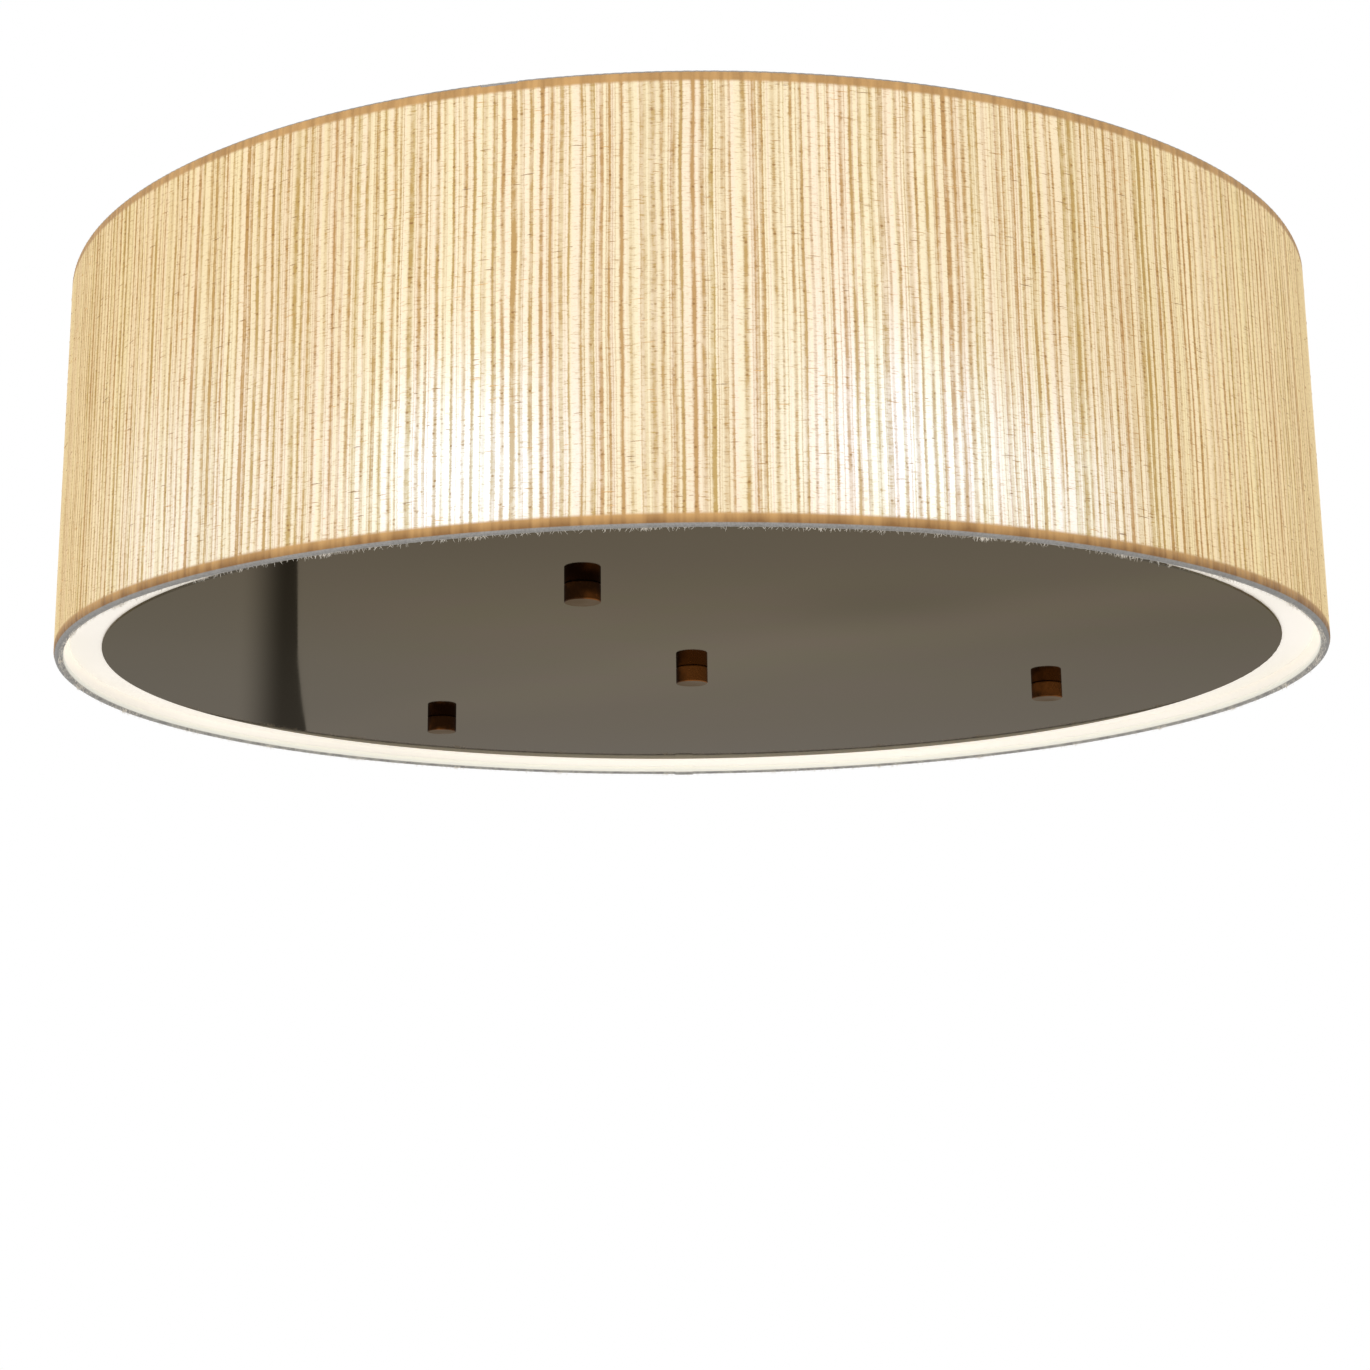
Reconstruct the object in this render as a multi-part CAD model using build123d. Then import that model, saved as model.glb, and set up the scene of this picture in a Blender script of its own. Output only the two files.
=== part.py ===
from build123d import *
from math import asin, cos, radians, sin
import os

# Flush mount ceiling light: a woven drum shade round four lamps, closed below by a frosted
# diffuser and a metal base plate that four round knobs hold up.
# Millimetres, +Z up. The origin is the middle of the mounting strap, in the plane of the ceiling.

# ---- drum shade ----
drum_diameter = 610.0
drum_height = 184.0
ceiling_gap = 6.0          # open air between the ceiling and the top of the drum
fabric_thickness = 0.7
liner_thickness = 0.5
glue_line = 0.05           # between the cloth and the styrene liner behind it
ring_wire_diameter = 2.6   # wire ring inside each rolled hem
hem_slack = 0.35           # between the ring wire and the cloth rolled round it

# ---- base plate, diffuser and knobs ----
plate_diameter = 567.0
plate_thickness = 1.2
plate_edge_round = 0.4
plate_recess = 6.2         # underside of the plate above the bottom of the drum
diffuser_thickness = 3.0
diffuser_edge_round = 0.8
diffuser_edge_gap = 2.0    # round the diffuser, inside the bottom hem
rod_circle_radius = 189.5  # from the centre knob to the three outer knobs
first_rod_angle = 16.1
rod_count = 3
knob_diameter = 15.5
knob_height = 7.9
knob_edge_round = 0.5
knob_bore_spare = 0.5      # between the end of a rod and the end of a knob's bore
rod_reach = 5.9            # how far a rod stands out below the base plate
cover_hole_clearance = 0.6  # round a rod, through the diffuser and the plate

# ---- rods, nuts and washers ----
rod_diameter = 4.0
thread_clearance = 0.05    # radial, between a plain shaft and its nut or knob
nut_across_flats = 7.0
nut_height = 3.2
washer_diameter = 12.0
washer_thickness = 1.0
rod_top_spare = 2.8        # of the rod above its upper nut

# ---- ceiling pan, strap and nipple ----
pan_outside_rods = 25.5    # from the circle of the rods to the outside of the pan's wall
pan_depth = 27.0
pan_sheet = 1.0
pan_bend = 4.0
pan_flange = 8.0
bead_radius = 100.0
bead_half_width = 6.0
bead_depth = 3.0
strap_length = 112.0
strap_width = 20.0
strap_thickness = 2.5
box_screw_spacing = 88.9
box_slot_width = 4.6
box_slot_length = 16.0
nipple_diameter = 10.2
nipple_bore = 7.0
nipple_top_gap = 0.4       # top of the nipple below the ceiling plane
nipple_nut_across_flats = 14.0
nipple_nut_height = 4.0
nipple_washer_diameter = 24.0
nipple_washer_thickness = 1.5
coupling_diameter = 14.5
nipple_in_coupling = 10.0
rod_in_coupling = 9.0
coupling_web = 1.5         # between the nipple's end and the rod's seat in the coupling
earth_screw_offset = 22.0
earth_screw_diameter = 4.0
earth_head_diameter = 9.0
earth_head_height = 2.6

# ---- shade arms ----
arm_width = 14.0
arm_thickness = 2.0
arm_inner_spare = 9.0      # of an arm inside its rod
arm_bend = 5.0
arm_rise_run = 12.0        # how far from the ring an arm starts to rise
arm_notch_spare = 0.6      # all round an arm, where the rolled hem is cut for it

# ---- lamp holders, lamps and leads ----
lamp_count = 4
lamp_circle_radius = 145.0
first_lamp_angle = -30.0
holder_height = 44.0
holder_radius = 17.5
holder_flange_radius = 24.5
holder_flange_height = 5.0
holder_screw_offset = 21.0
holder_nose_step = 1.5     # the barrel's nose is this much slimmer
holder_nose_length = 4.0
holder_nose_slope = 2.0
holder_well_radius = 7.0
holder_well_depth = 6.0
holder_web = 6.0           # between the wiring well and the screw shell
holder_lip = 2.0           # of the holder past the mouth of its shell
shell_thickness = 0.5
shell_hole_spare = 2.0     # round the head of the centre contact, in the top of the shell
shell_clearance = 0.05
contact_head_radius = 4.0
contact_height = 4.0       # of the centre contact inside the shell
contact_head_thickness = 1.0
rivet_diameter = 3.0
rivet_spare = 1.2          # of the rivet above the web
cap_radius = 13.0          # of the lamp's screw cap
cap_clearance = 0.08       # radial, between the cap and the shell
cap_wall = 0.6
cap_corner = 1.5           # bevel at the top of the metal cap
cap_crown = 3.0            # solid top of the cap, over the glass
cap_shoulder_height = 2.6  # insulating cone between the tip and the metal cap
tip_radius = 4.6
tip_height = 1.4
cap_length = 24.0
glass_neck_radius = 12.3
glass_neck_in_cap = 6.0
glass_neck_length = 8.0    # straight neck below the cap
glass_radius = 30.0
glass_wall = 0.8
lamp_length = 110.0
screw_diameter = 3.0
screw_head_diameter = 5.6
screw_head_height = 1.8
screw_point_length = 2.0   # of a holder screw above the pan
lead_diameter = 2.2
lead_along = 3.0           # from a holder's axis to a lead, towards where the lead goes
lead_apart = 2.6           # between the two leads of a pair
lead_rise = 13.0           # of a lead above the floor of the pan
lead_bend = 6.0
lead_top_run = 14.0
lead_down_run = 30.0
lead_ease_bend = 18.0
bushing_bore_radius = 4.7
bushing_wall = 1.3
bushing_flange = 2.2
bushing_flange_height = 1.5
bushing_below = 2.0        # of the bushing under the pan, inside the holder's well
connector_length = 24.0
connector_mouth_radius = 6.2
connector_end_radius = 4.2
connector_apart = 15.0
lead_in_connector = 9.0

hole_clearance = 0.15      # radial, round fixed screws, rods and bushings
small_gap = 0.05           # between fixed pieces whose round faces would only touch

# ---- what follows from them ----
drum_radius = drum_diameter / 2
drum_top = -ceiling_gap
drum_bottom = drum_top - drum_height
wire_radius = ring_wire_diameter / 2
hem_bore = wire_radius + hem_slack
hem_radius = hem_bore + fabric_thickness
ring_radius = drum_radius - hem_radius
top_ring_z = drum_top - hem_radius
bottom_ring_z = drum_bottom + hem_radius
liner_radius = drum_radius - fabric_thickness - glue_line

plate_bottom = drum_bottom + plate_recess
diffuser_bottom = plate_bottom + plate_thickness
diffuser_top = diffuser_bottom + diffuser_thickness
diffuser_radius = drum_radius - 2 * hem_radius - diffuser_edge_gap
cover_hole_radius = rod_diameter / 2 + cover_hole_clearance
rod_bottom = plate_bottom - rod_reach

pan_radius = rod_circle_radius + pan_outside_rods
pan_under = -pan_depth
pan_floor = pan_under + pan_sheet
rod_top = pan_floor + nut_height + rod_top_spare
thread_radius = rod_diameter / 2 + thread_clearance
rod_hole_radius = rod_diameter / 2 + hole_clearance
nipple_radius = nipple_diameter / 2
nipple_thread_radius = nipple_radius + thread_clearance
nipple_washer_bottom = pan_under - nipple_washer_thickness
coupling_top = nipple_washer_bottom - nipple_nut_height
nipple_bottom = coupling_top - nipple_in_coupling
centre_rod_top = nipple_bottom - coupling_web
coupling_bottom = centre_rod_top - rod_in_coupling

shell_inner = cap_radius + cap_clearance
shell_outer = shell_inner + shell_thickness
holder_bore = shell_outer + shell_clearance
holder_bottom = pan_under - holder_height
web_bottom = pan_under - holder_well_depth - holder_web
shell_bottom = holder_bottom + holder_lip
contact_bottom = web_bottom - contact_height
bushing_radius = bushing_bore_radius + bushing_wall
bushing_hole_radius = bushing_radius + hole_clearance
cap_bottom = contact_bottom - tip_height - cap_shoulder_height - cap_length
glass_bottom = contact_bottom - lamp_length
lead_radius = lead_diameter / 2

rod_angles = [first_rod_angle + i * 360 / rod_count for i in range(rod_count)]
lamp_angles = [first_lamp_angle + i * 360 / lamp_count for i in range(lamp_count)]


def polar(radius, angle, z=0.0):
    return Vector(radius * cos(radians(angle)), radius * sin(radians(angle)), z)


def plan(point):
    return (point.X, point.Y)


def tube(outer, inner, low, high, at=(0, 0)):
    """An upright tube between two heights."""
    ring = Circle(outer) - Circle(inner)
    return Pos(at[0], at[1], low) * extrude(ring, high - low)


def disc(radius, low, high, at=(0, 0)):
    return Pos(at[0], at[1], low) * extrude(Circle(radius), high - low)


def hex_nut(across_flats, bore, low, high, at=(0, 0)):
    outline = RegularPolygon(across_flats / 2, 6, major_radius=False) - Circle(bore)
    return Pos(at[0], at[1], low) * extrude(outline, high - low)


def spun(*outline):
    """A solid turned about the Z axis from (radius, height) corners."""
    profile = make_face(Polyline(*[(r, 0, z) for r, z in outline], close=True))
    return revolve(profile, Axis.Z)


def strip(points, bends, thickness):
    """The section of a bent sheet: a filleted middle line in the XZ plane, given its thickness."""
    line = FilletPolyline(*[(r, 0, z) for r, z in points], radius=bends)
    return make_face(Wire(line.edges()).offset_2d(thickness / 2, side=Side.BOTH))


def group(pieces):
    return Compound(children=list(pieces))


# ---- shade ----

def rolled_hem(ring_z, inward):
    """Section of the cloth rolled round a ring wire. Inward is +1 where the wall stands above."""
    ring = Circle(hem_radius) - Circle(hem_bore)
    open_quarter = Pos(hem_radius / 2, inward * hem_radius / 2) * Rectangle(hem_radius, hem_radius)
    wall_foot = Pos(hem_radius - fabric_thickness / 2, inward * hem_radius / 2) * Rectangle(
        fabric_thickness, hem_radius
    )
    roll = (ring - open_quarter) + wall_foot
    return Plane.XZ * Pos(ring_radius, ring_z) * roll


def arm_notch(angle):
    """The cut in the rolled hem that lets an arm reach the ring wire."""
    wide = arm_width + 2 * arm_notch_spare
    deep = hem_radius + hem_bore + arm_notch_spare
    high = hem_radius + hem_bore + arm_notch_spare
    box = Box(deep, wide, high, align=(Align.MAX, Align.CENTER, Align.MAX))
    return Rot(0, 0, angle) * Pos(ring_radius + hem_bore, 0, top_ring_z + hem_bore) * box


def shade_fabric():
    """The woven cover: a straight wall that rolls inwards round both ring wires."""
    wall = Plane.XZ * Pos(drum_radius - fabric_thickness / 2, (top_ring_z + bottom_ring_z) / 2) * Rectangle(
        fabric_thickness, top_ring_z - bottom_ring_z
    )
    section = wall + rolled_hem(bottom_ring_z, 1) + rolled_hem(top_ring_z, -1)
    cover = revolve(section, Axis.Z)
    for angle in rod_angles:
        cover -= arm_notch(angle)
    return cover


def shade_liner():
    """The translucent styrene sheet that stiffens the cloth between the two hems."""
    return tube(
        liner_radius,
        liner_radius - liner_thickness,
        bottom_ring_z + hem_radius,
        top_ring_z - hem_radius,
    )


def ring_wire(z):
    return Pos(0, 0, z) * Torus(ring_radius, wire_radius)


def shade_arm(angle):
    """A flat arm from its rod out under the pan, then up to the top ring, where it is coped to the wire."""
    level = pan_under - arm_thickness / 2
    points = [
        (rod_circle_radius - arm_inner_spare, level),
        (ring_radius - arm_rise_run, level),
        (ring_radius, top_ring_z),
    ]
    arm = extrude(strip(points, arm_bend, arm_thickness), arm_width / 2, both=True)
    arm -= Pos(rod_circle_radius, 0, level) * Cylinder(rod_hole_radius, 2 * arm_thickness)
    return Rot(0, 0, angle) * (arm - ring_wire(top_ring_z))


def shade_arms():
    return group(shade_arm(angle) for angle in rod_angles)


# ---- ceiling pan and what hangs it ----

def pan_section():
    """Section of the pressed pan: floor with a stiffening bead, wall, and a flange at the ceiling."""
    floor = pan_under + pan_sheet / 2
    wall = pan_radius - pan_sheet / 2
    top = -pan_sheet / 2
    points = [
        (nipple_radius + hole_clearance + pan_sheet / 2, floor),
        (bead_radius - bead_half_width, floor),
        (bead_radius, floor - bead_depth),
        (bead_radius + bead_half_width, floor),
        (wall, floor),
        (wall, top),
        (pan_radius + pan_flange - pan_sheet / 2, top),
    ]
    bends = [pan_bend, pan_bend, pan_bend, pan_bend, pan_bend / 2]
    return strip(points, bends, pan_sheet)


def ceiling_pan():
    pan = revolve(pan_section(), Axis.Z)
    drill_height = 4 * pan_sheet
    for angle in rod_angles:
        pan -= Pos(polar(rod_circle_radius, angle, pan_floor)) * Cylinder(rod_hole_radius, drill_height)
    for angle in lamp_angles:
        pan -= Pos(polar(lamp_circle_radius, angle, pan_floor)) * Cylinder(bushing_hole_radius, drill_height)
        for x, y in holder_screw_places(angle):
            pan -= Pos(x, y, pan_floor) * Cylinder(screw_diameter / 2 + hole_clearance, drill_height)
    return pan


def mounting_strap():
    """The crossbar that two screws hold to the outlet box."""
    outline = SlotOverall(strap_length, strap_width)
    outline -= Circle(nipple_thread_radius)
    for side in (-1, 1):
        outline -= Pos(side * box_screw_spacing / 2, 0) * SlotOverall(box_slot_length, box_slot_width)
    outline -= Pos(earth_screw_offset, 0) * Circle(earth_screw_diameter / 2 + thread_clearance)
    return Pos(0, 0, -strap_thickness) * extrude(outline, strap_thickness)


def strap_nipple():
    return tube(nipple_radius, nipple_bore / 2, nipple_bottom, -nipple_top_gap)


def nipple_nuts():
    """One nut jams the nipple in the strap, the other holds the pan up, on a washer."""
    under_strap = -strap_thickness - nipple_nut_height
    return group([
        hex_nut(nipple_nut_across_flats, nipple_thread_radius, under_strap, -strap_thickness),
        tube(nipple_washer_diameter / 2, nipple_thread_radius, nipple_washer_bottom, pan_under),
        hex_nut(nipple_nut_across_flats, nipple_thread_radius, coupling_top, nipple_washer_bottom),
    ])


def earth_screw():
    shaft = disc(earth_screw_diameter / 2, -strap_thickness, -nipple_top_gap, (earth_screw_offset, 0))
    head_low = -strap_thickness - earth_head_height
    head = Pos(earth_screw_offset, 0, head_low) * extrude(
        RegularPolygon(earth_head_diameter / 2, 6, major_radius=False), earth_head_height
    )
    return shaft + head


def centre_coupling():
    """Joins the centre rod to the foot of the nipple."""
    radius = coupling_diameter / 2
    body = disc(radius, coupling_bottom, coupling_top)
    body -= disc(nipple_thread_radius, nipple_bottom, coupling_top)
    body -= disc(thread_radius, coupling_bottom, centre_rod_top)
    return body


# ---- rods ----

def rod_places():
    return [plan(polar(rod_circle_radius, angle)) for angle in rod_angles]


def centre_rod():
    return disc(rod_diameter / 2, rod_bottom, centre_rod_top)


def support_rods():
    return group(disc(rod_diameter / 2, rod_bottom, rod_top, at) for at in rod_places())


def rod_nuts():
    """Clamp each rod and shade arm to the pan, one nut above it and one below on a washer."""
    below = pan_under - arm_thickness - washer_thickness
    pieces = []
    for at in rod_places():
        pieces.append(hex_nut(nut_across_flats, thread_radius, pan_floor, pan_floor + nut_height, at))
        pieces.append(hex_nut(nut_across_flats, thread_radius, below - nut_height, below, at))
    return group(pieces)


def arm_washers():
    low = pan_under - arm_thickness - washer_thickness
    return group(
        tube(washer_diameter / 2, thread_radius, low, low + washer_thickness, at) for at in rod_places()
    )


def stop_washers():
    """Rest on top of the diffuser, under the stop nuts."""
    return group(
        tube(washer_diameter / 2, thread_radius, diffuser_top, diffuser_top + washer_thickness, at)
        for at in [(0, 0)] + rod_places()
    )


def stop_nuts():
    """Set the height of the diffuser on the rods."""
    low = diffuser_top + washer_thickness
    return group(
        hex_nut(nut_across_flats, thread_radius, low, low + nut_height, at)
        for at in [(0, 0)] + rod_places()
    )


# ---- diffuser, base plate and knobs ----

def cover_disc(radius, low, high, edge):
    """A round sheet with eased edges and a hole for each rod."""
    sheet = disc(radius, low, high)
    sheet = fillet(sheet.edges(), min(edge, 0.45 * (high - low)))
    for x, y in [(0, 0)] + rod_places():
        sheet -= Pos(x, y, (low + high) / 2) * Cylinder(cover_hole_radius, 2 * (high - low))
    return sheet


def diffuser_disc():
    return cover_disc(diffuser_radius, diffuser_bottom, diffuser_top, diffuser_edge_round)


def base_plate():
    return cover_disc(plate_diameter / 2, plate_bottom, diffuser_bottom, plate_edge_round)


def knob(at):
    """A plain round cap nut with a blind bore."""
    low = plate_bottom - knob_height
    body = disc(knob_diameter / 2, low, plate_bottom, at)
    body = fillet(body.edges(), knob_edge_round)
    return body - disc(thread_radius, rod_bottom - knob_bore_spare, plate_bottom, at)


# ---- lamp holders ----

def holder_screw_places(angle):
    """Two screws beside each holder, across the line to the centre of the pan."""
    middle = polar(lamp_circle_radius, angle)
    side = polar(holder_screw_offset, angle + 90)
    return [plan(middle + side), plan(middle - side)]


def lamp_place(angle):
    return Pos(polar(lamp_circle_radius, angle))


def holder_body(angle):
    """Moulded holder: flange, stepped barrel, wiring well above a web and the bore for the shell."""
    nose = holder_radius - holder_nose_step
    nose_top = holder_bottom + holder_nose_length
    body = spun(
        (holder_well_radius, pan_under),
        (holder_flange_radius, pan_under),
        (holder_flange_radius, pan_under - holder_flange_height),
        (holder_radius, pan_under - holder_flange_height),
        (holder_radius, nose_top + holder_nose_slope),
        (nose, nose_top),
        (nose, holder_bottom),
        (holder_bore, holder_bottom),
        (holder_bore, web_bottom),
        (rivet_diameter / 2 + small_gap, web_bottom),
        (rivet_diameter / 2 + small_gap, web_bottom + holder_web),
        (holder_well_radius, web_bottom + holder_web),
    )
    body = lamp_place(angle) * body
    for x, y in holder_screw_places(angle):
        drill = Cylinder(screw_diameter / 2 + hole_clearance, 3 * holder_flange_height)
        body -= Pos(x, y, pan_under) * drill
    return body


def holder_shell(angle):
    """The brass screw shell, open below, with a hole above for the centre contact."""
    top = web_bottom - small_gap
    hole = contact_head_radius + shell_hole_spare
    shell = spun(
        (hole, top),
        (shell_outer, top),
        (shell_outer, shell_bottom),
        (shell_inner, shell_bottom),
        (shell_inner, top - shell_thickness),
        (hole, top - shell_thickness),
    )
    return lamp_place(angle) * shell


def centre_contact(angle):
    """A rivet through the web with the contact head that meets the lamp's tip."""
    rivet_top = web_bottom + holder_web + rivet_spare
    head_top = contact_bottom + contact_head_thickness
    contact = spun(
        (0, rivet_top),
        (rivet_diameter / 2, rivet_top),
        (rivet_diameter / 2, head_top),
        (contact_head_radius, head_top),
        (contact_head_radius, contact_bottom),
        (0, contact_bottom),
    )
    return lamp_place(angle) * contact


def holder_screw(at):
    head_top = pan_under - holder_flange_height
    head = disc(screw_head_diameter / 2, head_top - screw_head_height, head_top, at)
    return head + disc(screw_diameter / 2, head_top, pan_floor + screw_point_length, at)


def holder_screws():
    return group(holder_screw(at) for angle in lamp_angles for at in holder_screw_places(angle))


# ---- lamps ----

def lamp_cap(angle):
    """Tip contact, insulating shoulder and the metal screw cap, which is hollow for the glass."""
    shoulder_top = contact_bottom - tip_height
    cap_top = shoulder_top - cap_shoulder_height
    cap = spun(
        (0, contact_bottom),
        (tip_radius, contact_bottom),
        (tip_radius, shoulder_top),
        (cap_radius - cap_corner, cap_top),
        (cap_radius, cap_top - cap_corner),
        (cap_radius, cap_bottom),
        (cap_radius - cap_wall, cap_bottom),
        (cap_radius - cap_wall, cap_top - cap_crown),
        (0, cap_top - cap_crown),
    )
    return lamp_place(angle) * cap


def glass_outline(inset):
    """Half section of the glass, its edge drawn in by an inset: neck, flare and round bulb."""
    neck, bulb = glass_neck_radius - inset, glass_radius - inset
    top = cap_bottom + glass_neck_in_cap
    neck_end = cap_bottom - glass_neck_length
    bulb_z = glass_bottom + glass_radius
    rise = neck_end - bulb_z
    flare = (glass_neck_radius**2 + rise**2 - glass_radius**2) / (2 * (glass_radius - glass_neck_radius))
    reach = glass_neck_radius + flare
    tilt = asin(rise / (glass_radius + flare))
    middle = tilt / 2
    flare_out = flare + inset

    def on_flare(angle):
        return (reach - flare_out * cos(angle), 0, neck_end - flare_out * sin(angle))

    def on_bulb(angle):
        return (bulb * cos(angle), 0, bulb_z + bulb * sin(angle))

    return [
        Line((0, 0, top), (neck, 0, top)),
        Line((neck, 0, top), (neck, 0, neck_end)),
        ThreePointArc(on_flare(0), on_flare(middle), on_flare(tilt)),
        ThreePointArc(on_bulb(tilt), on_bulb((tilt - radians(90)) / 2), on_bulb(radians(-90))),
        Line(on_bulb(radians(-90)), (0, 0, top)),
    ]


def lamp_glass(angle):
    """The frosted envelope, a thin shell with its neck in the cap."""
    outer = revolve(make_face(glass_outline(0)), Axis.Z)
    inner = revolve(make_face(glass_outline(glass_wall)), Axis.Z)
    return lamp_place(angle) * (outer - inner)


# ---- wiring in the pan ----

def lead_bushings():
    """Insulating bushings where the leads pass through the floor of the pan."""
    pieces = []
    for angle in lamp_angles:
        at = plan(polar(lamp_circle_radius, angle))
        sleeve = tube(bushing_radius, bushing_bore_radius, pan_under - bushing_below, pan_floor, at)
        flange_radius = bushing_radius + bushing_flange
        flange = tube(flange_radius, bushing_bore_radius, pan_floor, pan_floor + bushing_flange_height, at)
        pieces.append(sleeve + flange)
    return group(pieces)


def lead(start, end, heights, runs, bends):
    """A wire in the upright plane through two plan points, from its heights and runs along it."""
    across = end - start
    along = across.normalized()
    points = [start + along * run + Vector(0, 0, z) for run, z in zip(runs, heights)]
    path = FilletPolyline(*points, radius=bends)
    section = Plane(origin=points[0], z_dir=points[1] - points[0]) * Circle(lead_radius)
    return sweep(section, path=path)


low_lead = pan_floor + lead_radius + small_gap
high_lead = pan_floor + lead_rise
lead_start_z = pan_under - holder_well_depth + small_gap


def lead_ends(from_angle, to_angle, side):
    """Plan points of one lead of a pair between two holders, to one side of the line."""
    start, end = polar(lamp_circle_radius, from_angle), polar(lamp_circle_radius, to_angle)
    along = (end - start).normalized()
    sideways = Vector(-along.Y, along.X, 0) * (side * lead_apart / 2)
    return start + along * lead_along + sideways, end - along * lead_along + sideways


def holder_leads(side):
    """The leads of one pole: from each holder to the next, and from the first to its connector."""
    pieces = []
    for i in range(lamp_count - 1):
        start, end = lead_ends(lamp_angles[i], lamp_angles[i + 1], side)
        length = (end - start).length
        down = lead_top_run + lead_down_run
        runs = [0, 0, lead_top_run, down, length - down, length - lead_top_run, length, length]
        heights = [lead_start_z, high_lead, high_lead, low_lead, low_lead, high_lead, high_lead, lead_start_z]
        bends = [lead_bend] + [lead_ease_bend] * 4 + [lead_bend]
        pieces.append(lead(start, end, heights, runs, bends))
    pieces.append(tail_lead(side))
    return group(pieces)


def connector_frame(side):
    """Mouth, direction and height of one wire connector, half way between the last holder and the first."""
    start, end = lead_ends(lamp_angles[0], lamp_angles[-1], side)
    along = (end - start).normalized()
    sideways = Vector(-along.Y, along.X, 0) * (side * (connector_apart - lead_apart) / 2)
    target = (start + end) / 2 + sideways
    direction = (target - start).normalized()
    mouth = target - direction * connector_length
    return start, mouth, direction, pan_floor + connector_mouth_radius + small_gap


def tail_lead(side):
    start, mouth, direction, z = connector_frame(side)
    end = mouth + direction * lead_in_connector
    length = (end - start).length
    reach = (mouth - start).length
    down = lead_top_run + lead_down_run / 2
    runs = [0, 0, lead_top_run, (down + reach) / 2, length]
    heights = [lead_start_z, high_lead, high_lead, z, z]
    return lead(start, end, heights, runs, [lead_bend, lead_ease_bend, lead_ease_bend])


def wire_connectors():
    """Two twist-on connectors that lie on the floor of the pan, where the house wires come in."""
    pieces = []
    for side in (-1, 1):
        _, mouth, direction, z = connector_frame(side)
        cone = Solid.make_cone(connector_mouth_radius, connector_end_radius, connector_length)
        bore = Cylinder(lead_radius + small_gap, 2 * lead_in_connector)
        place = Plane(origin=mouth + Vector(0, 0, z), z_dir=direction)
        pieces.append(place * (cone - bore))
    return group(pieces)


# ---- build ----

parts = {
    "shade_fabric": shade_fabric(),
    "shade_liner": shade_liner(),
    "bottom_ring": ring_wire(bottom_ring_z),
    "top_ring": ring_wire(top_ring_z),
    "shade_arms": shade_arms(),
    "ceiling_pan": ceiling_pan(),
    "mounting_strap": mounting_strap(),
    "strap_nipple": strap_nipple(),
    "nipple_nuts": nipple_nuts(),
    "earth_screw": earth_screw(),
    "centre_coupling": centre_coupling(),
    "centre_rod": centre_rod(),
    "support_rods": support_rods(),
    "rod_nuts": rod_nuts(),
    "arm_washers": arm_washers(),
    "stop_washers": stop_washers(),
    "stop_nuts": stop_nuts(),
    "diffuser_disc": diffuser_disc(),
    "base_plate": base_plate(),
    "centre_knob": knob((0, 0)),
    "centre_contacts": group(centre_contact(angle) for angle in lamp_angles),
    "holder_screws": holder_screws(),
    "lead_bushings": lead_bushings(),
    "live_leads": holder_leads(1),
    "neutral_leads": holder_leads(-1),
    "wire_connectors": wire_connectors(),
}
for number, place in enumerate(rod_places(), start=1):
    parts[f"knob_{number}"] = knob(place)
for number, lamp_angle in enumerate(lamp_angles, start=1):
    parts[f"holder_body_{number}"] = holder_body(lamp_angle)
    parts[f"holder_shell_{number}"] = holder_shell(lamp_angle)
    parts[f"lamp_cap_{number}"] = lamp_cap(lamp_angle)
    parts[f"lamp_glass_{number}"] = lamp_glass(lamp_angle)

os.makedirs("parts", exist_ok=True)
for node, shape in parts.items():
    export_step(shape, f"parts/{node}.step")
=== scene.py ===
"""Drum ceiling light: cloth, finishes and studio, built round its fixed frame. Metres, +Z up."""
import math

import bmesh
import bpy
from bpy.props import FloatProperty, FloatVectorProperty, IntProperty, PointerProperty
from mathutils import Matrix, Vector


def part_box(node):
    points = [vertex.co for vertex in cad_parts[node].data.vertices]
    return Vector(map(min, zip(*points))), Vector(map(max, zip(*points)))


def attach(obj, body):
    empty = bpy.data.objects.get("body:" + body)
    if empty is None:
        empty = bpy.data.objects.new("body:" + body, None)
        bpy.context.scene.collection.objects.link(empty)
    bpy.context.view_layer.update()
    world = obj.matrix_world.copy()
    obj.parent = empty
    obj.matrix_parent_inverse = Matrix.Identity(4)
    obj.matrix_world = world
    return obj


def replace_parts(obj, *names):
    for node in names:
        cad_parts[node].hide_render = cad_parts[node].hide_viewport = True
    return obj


bl_info = {
    "name": "Drum Ceiling Light",
    "version": (1, 0, 0),
    "blender": (4, 5, 0),
    "location": "View3D > Sidebar > Ceiling Light",
    "description": "Woven drum shade, metal cover plate, lamps and wiring of a flush ceiling light",
    "category": "Add Mesh",
}

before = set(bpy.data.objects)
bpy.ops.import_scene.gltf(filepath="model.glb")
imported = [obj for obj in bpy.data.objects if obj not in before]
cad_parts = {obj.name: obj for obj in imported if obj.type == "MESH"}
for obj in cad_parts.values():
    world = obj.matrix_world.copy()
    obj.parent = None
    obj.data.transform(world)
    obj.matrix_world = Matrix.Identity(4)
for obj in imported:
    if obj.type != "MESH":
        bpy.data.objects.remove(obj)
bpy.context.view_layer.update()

MM = 0.001

# ---- places and sizes read from the frame ----
DRUM_LOW, DRUM_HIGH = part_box("shade_fabric")
PLATE_LOW, PLATE_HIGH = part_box("base_plate")
RING_LOW, RING_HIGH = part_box("bottom_ring")
LAMP_LOW, LAMP_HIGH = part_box("lamp_glass_1")
LAMP_COUNT = sum(name.startswith("lamp_glass_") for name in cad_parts)
ROD_COUNT = sum(name.startswith("knob_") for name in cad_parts)


def middle(node):
    low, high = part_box(node)
    return (low + high) / 2


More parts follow.
